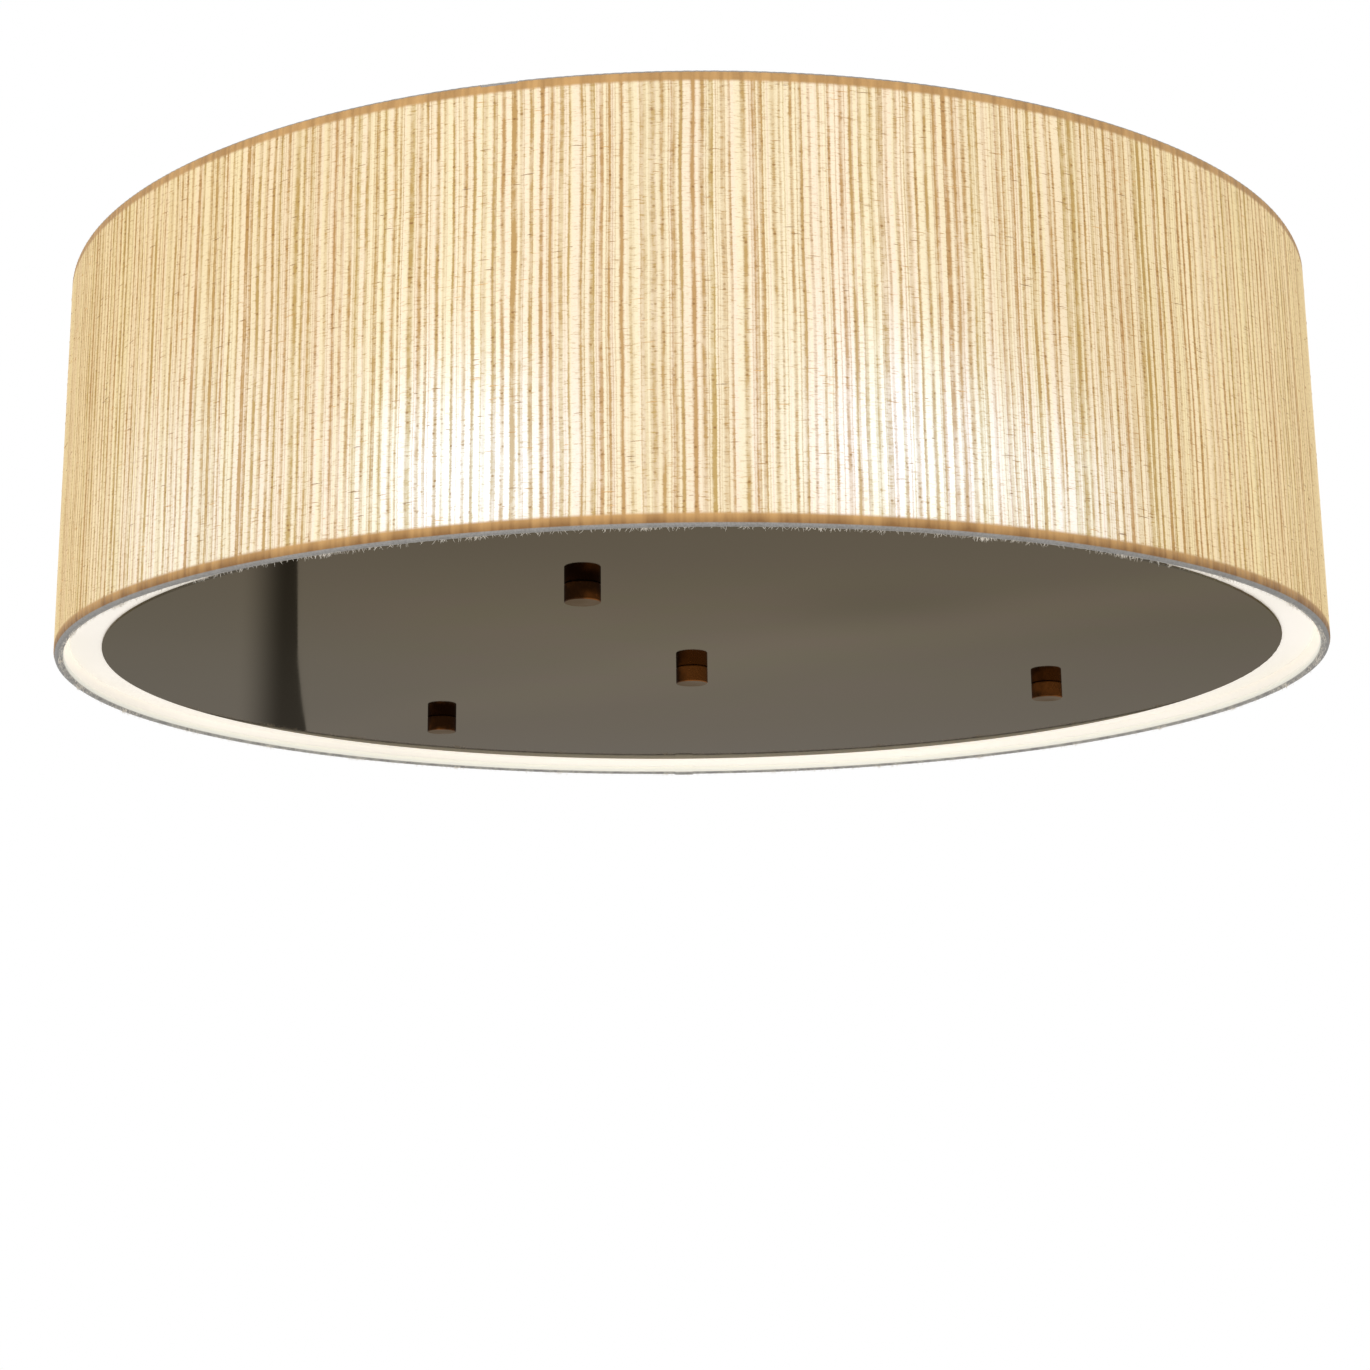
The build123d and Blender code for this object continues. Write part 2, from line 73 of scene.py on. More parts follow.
RODS = [middle(f"knob_{n}") for n in range(1, ROD_COUNT + 1)]
DRUM_RADIUS = DRUM_HIGH.x
DRUM_BOTTOM, DRUM_TOP = DRUM_LOW.z, DRUM_HIGH.z
HEM_RADIUS = (RING_LOW.z + RING_HIGH.z) / 2 - DRUM_BOTTOM
BOTTOM_RING_Z = DRUM_BOTTOM + HEM_RADIUS
TOP_RING_Z = DRUM_TOP - HEM_RADIUS
RING_RADIUS = DRUM_RADIUS - HEM_RADIUS
CLOTH_THICKNESS = 0.7 * MM
ARM_ANGLES = [math.atan2(place.y, place.x) for place in RODS]
SEAM_ANGLE = math.radians(90)
HEM_TURN = math.radians(270)
HEM_WIDTH = 5 * MM
HEM_SEAM, HEM_SEAM_TOP = DRUM_BOTTOM + HEM_WIDTH, DRUM_TOP - HEM_WIDTH


# ---- node trees ----

def plug(tree, socket, value):
    """Links a field or a socket to a node's input, or sets a plain value on it."""
    if isinstance(value, Field):
        tree.links.new(value.socket, socket)
    elif isinstance(value, bpy.types.NodeSocket):
        tree.links.new(value, socket)
    else:
        socket.default_value = value


def add(tree, kind, inputs=(), output=0, **settings):
    """Adds a node with its settings and inputs, and gives one of its outputs as a field."""
    made = tree.nodes.new(kind)
    for name, value in settings.items():
        setattr(made, name, value)
    for key, value in dict(inputs).items():
        plug(tree, made.inputs[key], value)
    return Field(tree, made.outputs[output])


class Field:
    """An output of a node that sums can be written with: each operation adds one math node."""

    def __init__(self, tree, socket):
        self.tree = tree
        self.socket = socket

    def math(self, operation, *others):
        return add(self.tree, "ShaderNodeMath", enumerate((self,) + others), operation=operation)

    def __add__(self, other):
        return self.math("ADD", other)

    def __sub__(self, other):
        return self.math("SUBTRACT", other)

    def __mul__(self, other):
        return self.math("MULTIPLY", other)

    def __truediv__(self, other):
        return self.math("DIVIDE", other)

    def __rsub__(self, other):
        return (self * -1) + other

    def less(self, other):
        return self.math("LESS_THAN", other)

    def ramp(self, start, end, to=(0.0, 1.0), smooth=True):
        """Runs from the first to the second of two numbers while the field goes from start to end."""
        kind = "SMOOTHSTEP" if smooth else "LINEAR"
        values = {"Value": self, "From Min": start, "From Max": end, "To Min": to[0], "To Max": to[1]}
        return add(self.tree, "ShaderNodeMapRange", values, interpolation_type=kind)

    def part(self, axis):
        """One of a vector's three numbers."""
        return add(self.tree, "ShaderNodeSeparateXYZ", {0: self}, axis)


def vector(tree, x=0.0, y=0.0, z=0.0):
    return add(tree, "ShaderNodeCombineXYZ", {0: x, 1: y, 2: z})


def noise(tree, place, scale=1.0, detail=2.0):
    return add(tree, "ShaderNodeTexNoise", {"Vector": place, "Scale": scale, "Detail": detail})


def distance(tree, place, centre):
    return add(tree, "ShaderNodeVectorMath", {0: place, 1: centre}, "Value", operation="DISTANCE")


def mix_colours(tree, share, first, second, blend="MIX"):
    made = tree.nodes.new("ShaderNodeMix")
    made.data_type = "RGBA"
    made.blend_type = blend
    plug(tree, made.inputs[0], share)
    plug(tree, made.inputs[6], first)
    plug(tree, made.inputs[7], second)
    return Field(tree, made.outputs[2])


def linear(colour):
    """A shader colour from the sRGB numbers, 0 to 255, that it should look like."""
    parts = [channel / 255 for channel in colour]
    return [c / 12.92 if c <= 0.04045 else ((c + 0.055) / 1.055) ** 2.4 for c in parts] + [1.0]


def cells(tree, place, dimensions, randomness=1.0):
    """The distance to the nearest of scattered points, and that point's own random numbers."""
    key = "W" if dimensions == "1D" else "Vector"
    values = {key: place, "Scale": 1.0, "Randomness": randomness}
    far = add(tree, "ShaderNodeTexVoronoi", values, voronoi_dimensions=dimensions, feature="F1")
    return far, Field(tree, far.socket.node.outputs["Color"])


def rib_lines(tree, along, up, pitch):
    """Upright lines between irregular ribs: the distance to the nearest coarse and fine line, in steps."""
    wander = noise(tree, vector(tree, along * 40, up * 14), 1.0, 1.0) - 0.5
    moved = along + wander * (pitch * 0.55)
    coarse = cells(tree, moved / pitch, "1D", 0.45)
    fine = cells(tree, moved / (pitch * 0.31) + 31.7, "1D", 0.8)
    return coarse, fine


def put_in_scene(name, data):
    """A new object of the scene, for a mesh, a light or a camera."""
    made = bpy.data.objects.new(name, data)
    bpy.context.scene.collection.objects.link(made)
    return made


# ---- geometry trees ----

def geometry_tree(name, sockets):
    """A new geometry tree with named inputs, and its inputs as fields."""
    tree = bpy.data.node_groups.new(name, "GeometryNodeTree")
    kinds = {int: "NodeSocketInt", float: "NodeSocketFloat"}
    tree.interface.new_socket("Geometry", in_out="INPUT", socket_type="NodeSocketGeometry")
    for label, default in sockets.items():
        made = tree.interface.new_socket(label, in_out="INPUT", socket_type=kinds[type(default)])
        made.default_value = default
    tree.interface.new_socket("Geometry", in_out="OUTPUT", socket_type="NodeSocketGeometry")
    entry = tree.nodes.new("NodeGroupInput")
    return tree, {socket.name: Field(tree, socket) for socket in entry.outputs if socket.name}


def close_tree(tree, geometry, material, smooth=True):
    """The end of a geometry tree: real copies, shading and material."""
    real = add(tree, "GeometryNodeRealizeInstances", {0: geometry})
    shaded = add(tree, "GeometryNodeSetShadeSmooth", {"Geometry": real, "Shade Smooth": smooth})
    finished = add(tree, "GeometryNodeSetMaterial", {"Geometry": shaded, "Material": material})
    tree.links.new(finished.socket, tree.nodes.new("NodeGroupOutput").inputs[0])


def grow(name, tree, mesh=None):
    """A plain mesh object made by a geometry tree, which works on a mesh where it needs one."""
    piece = put_in_scene(name, mesh or bpy.data.meshes.new(name))
    modifier = piece.modifiers.new(tree.name, "NODES")
    modifier.node_group = tree
    for item in tree.interface.items_tree:
        if item.in_out == "INPUT" and item.socket_type != "NodeSocketGeometry":
            modifier[item.identifier] = item.default_value
    bpy.context.view_layer.update()
    graph = bpy.context.evaluated_depsgraph_get()
    plain = bpy.data.meshes.new_from_object(
        piece.evaluated_get(graph), preserve_all_data_layers=True, depsgraph=graph
    )
    piece.modifiers.clear()
    piece.data = plain
    plain.name = name
    return piece


def sampled(tree, section, value, index, kind="FLOAT"):
    made = tree.nodes.new("GeometryNodeSampleIndex")
    made.data_type = kind
    plug(tree, made.inputs["Geometry"], section)
    plug(tree, made.inputs["Value"], value)
    plug(tree, made.inputs["Index"], index)
    return Field(tree, made.outputs[0])


def named(tree, name, kind="FLOAT"):
    return add(tree, "GeometryNodeInputNamedAttribute", {"Name": name}, data_type=kind)


def stored(tree, geometry, name, value, kind, domain):
    values = {"Geometry": geometry, "Name": name, "Value": value}
    return add(tree, "GeometryNodeStoreNamedAttribute", values, data_type=kind, domain=domain)


def grid_of(tree, columns, rows):
    """A grid of columns by rows, and each corner's column and row."""
    grid = add(tree, "GeometryNodeMeshGrid", {"Vertices X": columns, "Vertices Y": rows})
    index = add(tree, "GeometryNodeInputIndex")
    column = (index / rows + 0.0001).math("FLOOR")
    row = (index - column * rows).math("ROUND")
    return grid, column, row


def placed(tree, geometry, position):
    return add(tree, "GeometryNodeSetPosition", {"Geometry": geometry, "Position": position})


# ---- materials ----

def material(name, colour, roughness, metallic=0.0, **more):
    """A Principled material with its constants on its own sockets."""
    made = bpy.data.materials.new(name)
    made.use_nodes = True
    shader = made.node_tree.nodes["Principled BSDF"]
    shader.inputs["Base Color"].default_value = linear(colour)
    shader.inputs["Roughness"].default_value = roughness
    shader.inputs["Metallic"].default_value = metallic
    for key, value in more.items():
        shader.inputs[key.replace("_", " ").title()].default_value = value
    return made, made.node_tree, shader


def feed(tree, shader, **fields):
    """Links fields to a shader's inputs."""
    for key, value in fields.items():
        plug(tree, shader.inputs[key.replace("_", " ").title()], value)


def bump(tree, height, strength, depth, shader):
    feed(tree, shader, normal=add(tree, "ShaderNodeBump", {
        "Strength": strength, "Distance": depth, "Height": height,
    }))


def object_place(tree):
    return add(tree, "ShaderNodeTexCoord", output=3)


def shader_group(name, inputs, outputs):
    """A new shader group: its tree, its inputs as fields, and its output node."""
    tree = bpy.data.node_groups.new(name, "ShaderNodeTree")
    for label, default in inputs.items():
        kind = "NodeSocketFloat" if isinstance(default, float) else "NodeSocketVector"
        made = tree.interface.new_socket(label, in_out="INPUT", socket_type=kind)
        if isinstance(default, float):
            made.default_value = default
    for label in outputs:
        tree.interface.new_socket(label, in_out="OUTPUT", socket_type="NodeSocketFloat")
    entry = tree.nodes.new("NodeGroupInput")
    fields = {socket.name: Field(tree, socket) for socket in entry.outputs if socket.name}
    return tree, fields, tree.nodes.new("NodeGroupOutput")


def use_group(tree, group, values):
    made = tree.nodes.new("ShaderNodeGroup")
    made.node_tree = group
    for key, value in values.items():
        plug(tree, made.inputs[key], value)
    return {socket.name: Field(tree, socket) for socket in made.outputs}


def grain_group():
    """Fine grain, slow clouds and sparse dust, in object space, with a scale in grains per metre."""
    if "Surface Grain" in bpy.data.node_groups:
        return bpy.data.node_groups["Surface Grain"]
    inputs, outputs = {"Place": None, "Scale": 900.0}, ["Grain", "Clouds", "Dust"]
    tree, given, end = shader_group("Surface Grain", inputs, outputs)
    place = given["Place"]
    plug(tree, end.inputs["Grain"], noise(tree, place, given["Scale"], 3.0))
    plug(tree, end.inputs["Clouds"], noise(tree, place, given["Scale"] * 0.02, 3.0))
    plug(tree, end.inputs["Dust"], noise(tree, place, given["Scale"] * 0.6, 1.0).ramp(0.68, 0.76))
    return tree


def surface_marks(tree, scale):
    """The grain, clouds and dust of a material, with its grains in a metre."""
    return use_group(tree, grain_group(), {"Place": object_place(tree), "Scale": scale})


def toned(tree, shader, share, first, second):
    """Colours a material by the share of its second sRGB colour."""
    feed(tree, shader, base_color=mix_colours(tree, share, linear(first), linear(second)))


DUST_COLOUR = linear((205, 200, 190))


def grained(name, colour, roughness, metallic=0.0, scale=900.0, depth=0.03 * MM, tint=0.12, **more):
    """A material with grain in its bump, and clouds and dust in its colour and roughness."""
    made, tree, shader = material(name, colour, roughness, metallic, **more)
    marks = surface_marks(tree, scale)
    plain = linear(colour)
    deeper = [c * (1 - tint) for c in plain[:3]] + [1.0]
    clouded = mix_colours(tree, marks["Clouds"].ramp(0.35, 0.65), plain, deeper)
    feed(tree, shader, base_color=mix_colours(tree, marks["Dust"] * 0.15, clouded, DUST_COLOUR))
    spread = marks["Clouds"].ramp(0.3, 0.7, (roughness * 0.85, min(1.0, roughness * 1.25)))
    feed(tree, shader, roughness=spread + marks["Dust"] * 0.1)
    bump(tree, marks["Grain"], 0.6, depth, shader)
    return made


def paint(made, *nodes):
    """Gives frame nodes a material."""
    for name in nodes:
        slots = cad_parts[name].material_slots
        for slot in slots:
            slot.link = "OBJECT"
            slot.material = made


def ride_root(piece):
    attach(piece, "root")
    return piece


# ---- settings ----

class ShadeSettings(bpy.types.PropertyGroup):
    """Sizes and colours of the woven shade."""

    rib_pitch: FloatProperty(
        name="Rib Pitch", description="Usual width of a coarse rib of the weave", default=3.9 * MM, unit="LENGTH"
    )
    rib_depth: FloatProperty(
        name="Rib Depth", description="Depth of the grooves between ribs", default=0.3 * MM, unit="LENGTH"
    )
    columns: IntProperty(name="Columns", description="Steps of the cloth round the drum", default=2500)
    lap_width: FloatProperty(
        name="Lap Width", description="Width of the glued lap at the back", default=11 * MM, unit="LENGTH"
    )
    slub_count: IntProperty(name="Slubs", description="Number of loose weft threads", default=1500)
    fray_count: IntProperty(name="Frays", description="Number of cut fibres at the lower hem", default=2600)
    cream: FloatVectorProperty(
        name="Rib", description="Colour of the ribs", subtype="COLOR", default=linear((180, 150, 105))[:3]
    )
    tan: FloatVectorProperty(
        name="Groove", description="Colour of the grooves", subtype="COLOR", default=linear((140, 100, 55))[:3]
    )
    brown: FloatVectorProperty(
        name="Slub", description="Colour of the slub threads", subtype="COLOR", default=linear((112, 78, 42))[:3]
    )


class CoverSettings(bpy.types.PropertyGroup):
    """Finish of the base plate, the diffuser and the knobs."""

    plate: FloatVectorProperty(
        name="Plate", description="Colour of the base plate", subtype="COLOR", default=(0.131, 0.112, 0.082)
    )
    plate_roughness: FloatProperty(
        name="Plate Roughness", description="How much the plate blurs what it mirrors", default=0.03
    )
    bronze: FloatVectorProperty(
        name="Bronze", description="Colour of the knobs", subtype="COLOR", default=(0.2, 0.068, 0.014)
    )


class ThreadSettings(bpy.types.PropertyGroup):
    """Screw threads of the rods and the nipple."""

    rod_pitch: FloatProperty(
        name="Rod Pitch", description="Rise of the rod thread in a turn", default=0.7 * MM, unit="LENGTH"
    )
    rod_depth: FloatProperty(
        name="Rod Depth", description="Depth of the rod thread", default=0.35 * MM, unit="LENGTH"
    )
    nipple_pitch: FloatProperty(
        name="Nipple Pitch", description="Rise of the nipple thread in a turn", default=1.0 * MM, unit="LENGTH"
    )
    nipple_depth: FloatProperty(
        name="Nipple Depth", description="Depth of the nipple thread", default=0.4 * MM, unit="LENGTH"
    )
    nipple_bore: FloatProperty(
        name="Nipple Bore", description="Width of the wire way in the nipple", default=7.0 * MM, unit="LENGTH"
    )


class StageSettings(bpy.types.PropertyGroup):
    """Floor, light and camera."""

    floor_below: FloatProperty(
        name="Floor Below", description="Height of the ceiling over the floor", default=2.4, unit="LENGTH"
    )
    sky: FloatProperty(name="Sky", description="Strength of the even light", default=0.62)
    horizon: FloatProperty(
        name="Horizon", description="Strength of what metal mirrors at the height of the light", default=0.62
    )
    key: FloatProperty(name="Key", description="Power of the front light", default=26.0)
    lens: FloatProperty(name="Lens", description="Focal length in mm", default=64.41)


# ---- shade ----

HEM_STEPS = 7
WALL_STEPS = 6
NOTCH_HALF_ANGLE = math.radians(1.45)
NOTCH_KEEPS = 0.3


def roll_side(sign, radius, ring_z, steps):
    """Section points of one rolled hem, from the wall round the wire to the cut edge."""
    for i in range(1, steps + 1):
        angle = HEM_TURN * i / steps
        out, up = math.cos(angle), sign * math.sin(angle)
        yield RING_RADIUS + radius * out, ring_z + radius * up, (out, up), sign * angle


def cloth_section():
    """The closed section of the cloth as a mesh of points: down its outer face, then back up its inner one."""
    outer, inner = HEM_RADIUS, HEM_RADIUS - CLOTH_THICKNESS
    rows = []
    for face, radius in ((1, outer), (-1, inner)):
        top = list(roll_side(1, radius, TOP_RING_Z, HEM_STEPS))
        low = list(roll_side(-1, radius, BOTTOM_RING_Z, HEM_STEPS))
        steps = WALL_STEPS if face > 0 else 1
        wall_radius = RING_RADIUS + radius
        heights = [TOP_RING_Z + (BOTTOM_RING_Z - TOP_RING_Z) * i / steps for i in range(steps + 1)]
        wall = [(wall_radius, z, (1, 0), 0.0) for z in heights]
        path = top[::-1] + wall + low
        rows += [(r, z, n, roll, face) for r, z, n, roll in (path if face > 0 else path[::-1])]
    rows.append(rows[0])
    mesh = bpy.data.meshes.new("cloth_section")
    mesh.from_pydata([(r, 0, z) for r, z, *_ in rows], [(i, i + 1) for i in range(len(rows) - 1)], [])
    length, run = 0.0, []
    for i, row in enumerate(rows):
        before = rows[max(i - 1, 0)]
        length += math.hypot(row[0] - before[0], row[1] - before[1])
        run.append(length)
    turns = [abs(row[3]) * (row[4] > 0) for row in rows]
    for label, values in (
        ("run", run),
        ("turns", turns),
        ("turned", [max(row[3], 0.0) for row in rows]),
        ("out", [row[2][0] * (row[4] > 0) for row in rows]),
        ("up", [row[2][1] * (row[4] > 0) for row in rows]),
    ):
        mesh.attributes.new(label, "FLOAT", "POINT").data.foreach_set("value", values)
    return mesh, len(rows)


def cloth_tree(settings, cloth, rows):
    """Sweeps the section round the drum, presses the grooves in, laps the seam and trims the hem at the arms."""
    tree, given = geometry_tree("Ribbed Drum Cloth", {
        "Columns": settings.columns,
        "Rib Pitch": settings.rib_pitch,
        "Rib Depth": settings.rib_depth,
        "Lap Width": settings.lap_width,
        "Notch Half Angle": NOTCH_HALF_ANGLE,
        "Notch Keeps": NOTCH_KEEPS,
    })
    section = given["Geometry"]
    grid, column, row = grid_of(tree, given["Columns"] + 1, rows)
    turn = column / given["Columns"] * math.tau
    angle = turn + SEAM_ANGLE
    along = turn * DRUM_RADIUS
    place = sampled(tree, section, add(tree, "GeometryNodeInputPosition"), row, "FLOAT_VECTOR")
    run, rolled, out, up, turns = (
        sampled(tree, section, named(tree, name), row) for name in ("run", "turned", "out", "up", "turns")
    )
    height = place.part(2)
    (coarse, _), _ = rib_lines(tree, along, height, given["Rib Pitch"])
    crown = coarse.ramp(0.0, 0.42)
    uneven = noise(tree, vector(tree, along * 9, height * 9), 1.0, 2.0) - 0.5
    lap = (along - given["Lap Width"]).less(0.0) * 0.5 * MM
    smooth_hem = rolled.math("MAXIMUM", turns).ramp(0.0, 0.5, (1.0, 0.3))
    rise = ((crown - 1) * given["Rib Depth"] + uneven * 0.2 * MM) * smooth_hem + lap
    radius = place.part(0) + out * rise
    level = height + up * rise
    sine, cosine = angle.math("SINE"), angle.math("COSINE")
    point = vector(tree, radius * cosine, radius * sine, level)
    near_arm = None
    for arm in ARM_ANGLES:
        off = (angle - arm + math.pi).math("FLOORED_MODULO", math.tau) - math.pi
        inside = off.math("ABSOLUTE").less(given["Notch Half Angle"])
        near_arm = inside if near_arm is None else near_arm.math("MAXIMUM", inside)
    unroll = rolled * near_arm * (given["Notch Keeps"] - 1)
    trimmed = add(tree, "ShaderNodeVectorRotate", {
        "Vector": point,
        "Center": vector(tree, cosine * RING_RADIUS, sine * RING_RADIUS, TOP_RING_Z),
        "Axis": vector(tree, sine, cosine * -1, 0.0),
        "Angle": unroll,
    }, rotation_type="AXIS_ANGLE")
    kept = placed(tree, grid, trimmed)
    for name, value in (("along", along), ("run", run), ("rolled", turns)):
        kept = stored(tree, kept, name, value, "FLOAT", "POINT")
    flat_place = vector(tree, named(tree, "along"), named(tree, "run"), 0.0)
    kept = stored(tree, kept, "cloth_map", flat_place, "FLOAT2", "CORNER")
    whole = add(tree, "GeometryNodeMergeByDistance", {"Geometry": kept, "Distance": 0.01 * MM})
    close_tree(tree, whole, cloth)
    return tree


# Painted pools of lamp light on the cloth, as (degrees round the drum, height over its foot, half width,
# strength).
PAINTED_LIGHT_POOLS = (
    (228.0, 20 * MM, 48 * MM, 0.3),
    (253.5, 24 * MM, 29 * MM, 0.66),
    (286.0, 30 * MM, 32 * MM, 0.5),
    (299.0, 16 * MM, 28 * MM, 0.3),
    (60.0, 30 * MM, 36 * MM, 0.6),
    (150.0, 30 * MM, 36 * MM, 0.6),
    (270.0, 92 * MM, 190 * MM, 0.36),
    (90.0, 92 * MM, 190 * MM, 0.36),
)


def glow_group():
    """Painted lamp light through the cloth, in object space: broad light and softer bright places."""
    tree, given, end = shader_group("Lamp Glow", {"Place": None}, ["Glow"])
    place = given["Place"]
    total = None
    for degrees, height, width, strength in PAINTED_LIGHT_POOLS:
        angle = math.radians(degrees)
        centre = (DRUM_RADIUS * math.cos(angle), DRUM_RADIUS * math.sin(angle), DRUM_BOTTOM + height)
        apart = distance(tree, place, centre) / width
        spot = (apart.math("POWER", 2.0) * -0.5).math("EXPONENT") * strength
        total = spot if total is None else total + spot
    plug(tree, end.inputs["Glow"], total)
    return tree


def lamp_glow(tree):
    """The painted lamp light through here, up to one."""
    marks = use_group(tree, bpy.data.node_groups["Lamp Glow"], {"Place": object_place(tree)})
    return marks["Glow"].math("MINIMUM", 1.0)


# Light through the cloth: between the lamps and close to one, then what ribs, grooves and slubs let pass of it.
DULL_LIGHT, FULL_LIGHT = (0.85, 0.58, 0.25, 1), (1.25, 1.38, 1.72, 1)
RIB_LIGHTS = (0.65, 0.745, 0.76, 1), (0.63, 0.745, 0.68, 1)
GROOVE_LIGHTS = (0.28, 0.195, 0.075, 1), (0.25, 0.21, 0.07, 1)
SLUB_LIGHT = (0.2, 0.13, 0.05, 1)
HEM_LIGHT, INSIDE_LIGHT = (0.0, 0.0, 0.0, 1), (0.31, 0.31, 0.29, 1)

YELLOW_GROOVE = linear((146, 112, 56))
HEM_COLOURS = linear((214, 168, 108)), linear((146, 106, 62))
# Grey of the hems' underside: painted shade.
SHADED_UNDERSIDE_COLOURS = linear((166, 163, 160)), linear((120, 117, 112))
WORN_COLOUR, INSIDE_COLOUR = linear((186, 183, 176)), linear((226, 224, 212))

# How far a hem has rolled, in radians, where its underside, painted grey as shade, its worn part and its inside
# begin.
UNDERSIDE, WORN, INSIDE = (0.42, 0.62), (1.45, 1.7), (2.4, 2.8)
SEAM_BLUR = 0.8 * MM
DASH_CELL, KNOT_CELL = (7 * MM, 0.8 * MM), (2.7 * MM, 1.9 * MM)


def weave_pattern(tree, along, height, pitch, clouds):
    """The shares of groove and of slub in the cloth, its parts, and each rib's own random numbers."""
    fuzz = (clouds(700, 900) - 0.5) * 0.5 * MM
    (coarse, toss), (fine, fine_toss) = rib_lines(tree, along + fuzz, height, pitch)
    broad = toss.part(2).ramp(0.9, 0.96, (0.0, 0.06))
    half = toss.part(0).ramp(0.0, 1.0, (0.14, 0.28), False) + broad
    strength = toss.part(1).ramp(0.0, 1.0, (0.55, 1.15), False)
    drift = clouds(260, 30).ramp(0.3, 0.65, (0.45, 1.0))
    clots = clouds(300, 220).ramp(0.35, 0.65, (0.78, 1.1))
    line = (coarse / half).ramp(0.25, 1.5, (1.0, 0.0)) * strength * drift * clots
    thin = fine.ramp(0.06, 0.4, (1.0, 0.0)) * fine_toss.part(0).ramp(0.3, 1.0, (0.0, 0.55), False) * clots
    tone = clouds(14, 4, 3.0).ramp(0.3, 0.7, (0.0, 0.13))
    weave = clouds(1300, 1500).ramp(0.35, 0.75, (0.0, 0.1))
    weft = clouds(300, 1500).ramp(0.55, 0.7, (0.0, 0.4))
    groove = (line + thin + tone + weave + weft).math("MINIMUM", 1.0)
    thread, thread_toss = cells(tree, vector(tree, along / DASH_CELL[0], height / DASH_CELL[1]), "2D")
    dash = thread.ramp(0.16, 0.36, (1.0, 0.0)) * thread_toss.part(0).ramp(0.6, 0.95, (0.0, 0.42))
    speck, speck_toss = cells(tree, vector(tree, along / KNOT_CELL[0], height / KNOT_CELL[1]), "2D")
    knot = speck.ramp(0.12, 0.34, (1.0, 0.0)) * speck_toss.part(1).ramp(0.55, 0.95, (0.0, 0.75))
    knot = knot * (line * 1.3 + 0.08)
    slub = (dash * (line + 0.3) + knot).math("MINIMUM", 1.0)
    relief = coarse.ramp(0.0, 0.4) * 0.3 + clouds(2600, 400, 3.0) * 0.35 + dash * 0.8 + weave
    return {
        "line": line, "weave": weave, "groove": groove, "slub": slub, "relief": relief,
        "warmth": fine_toss.part(2).ramp(0.2, 0.8), "rib": toss.part(2),
    }


def hem_colours(tree, height, rolled, pattern, threads, clouds):
    """The hems' share of the outer face, and its colour with the hems, their underside painted grey as shade, and
    their inside.
    """
    low = height.ramp(HEM_SEAM + SEAM_BLUR, HEM_SEAM - SEAM_BLUR)
    top = height.ramp(HEM_SEAM_TOP - SEAM_BLUR, HEM_SEAM_TOP + SEAM_BLUR)
    hem = (low + top).math("MINIMUM", 1.0)
    stains = clouds(170, 20, 3.0).ramp(0.36, 0.64, (0.0, 0.4))
    # Darker towards the foot of the lower hem, with the stains and the rib lines.
    hem_darkening = stains + pattern["line"] * 0.2 + height.ramp(HEM_SEAM, DRUM_BOTTOM + SEAM_BLUR, (0.0, 0.65))
    outside = mix_colours(tree, hem, threads, mix_colours(tree, hem_darkening, *HEM_COLOURS))
    # The underside's grey is painted shade, varied by the weave and the stains.
    shaded_grey = mix_colours(tree, pattern["weave"] * 5 + stains * 0.4, *SHADED_UNDERSIDE_COLOURS)
    worn = rolled.ramp(*WORN) * clouds(120, 90, 3.0).ramp(0.4, 0.6)
    shaded_grey = mix_colours(tree, worn, shaded_grey, WORN_COLOUR)
    under = mix_colours(tree, rolled.ramp(*UNDERSIDE), outside, shaded_grey)
    return hem, mix_colours(tree, rolled.ramp(*INSIDE), under, INSIDE_COLOUR)


def light_through(tree, pattern, hem, rolled):
    """What the cloth lets through of the lamps: most at its ribs, less at its grooves, none at its hems."""
    glow = lamp_glow(tree)
    ribs = mix_colours(tree, pattern["warmth"], *RIB_LIGHTS)
    grooves = mix_colours(tree, pattern["rib"], *GROOVE_LIGHTS)
    passed = mix_colours(tree, pattern["groove"] * (1 - glow * 0.25), ribs, grooves)
    passed = mix_colours(tree, pattern["slub"], passed, SLUB_LIGHT)
    bright = mix_colours(tree, 1.0, passed, mix_colours(tree, glow, DULL_LIGHT, FULL_LIGHT), "MULTIPLY")
    shown = mix_colours(tree, hem, bright, HEM_LIGHT)
    return mix_colours(tree, rolled.ramp(*INSIDE), shown, INSIDE_LIGHT)


def cloth_material(settings):
    """Ribbed natural cloth lit from inside: cream ribs, tan lines, brown slubs, and hems dulled by their wire."""
    made, tree, shader = material(
        "woven_cloth", (180, 150, 105), 0.85, sheen_weight=0.12, sheen_roughness=0.5, emission_strength=1.0
    )
    along = add(tree, "ShaderNodeUVMap", uv_map="cloth_map").part(0)
    height = object_place(tree).part(2)

    def clouds(across, up, detail=2.0):
        """Noise with so many clouds in a metre round the drum and up it."""
        return noise(tree, vector(tree, along * across, height * up), 1.0, detail)

    pattern = weave_pattern(tree, along, height, settings.rib_pitch, clouds)
    tan = mix_colours(tree, pattern["rib"], list(settings.tan) + [1], YELLOW_GROOVE)
    ribs = mix_colours(tree, pattern["groove"], list(settings.cream) + [1], tan)
    threads = mix_colours(tree, pattern["slub"], ribs, list(settings.brown) + [1])
    rolled = add(tree, "ShaderNodeAttribute", output=2, attribute_name="rolled")
    hem, base = hem_colours(tree, height, rolled, pattern, threads, clouds)
    feed(tree, shader, base_color=base)
    feed(tree, shader, emission_color=light_through(tree, pattern, hem, rolled))
    bump(tree, pattern["relief"], 0.4, 0.12 * MM, shader)
    return made


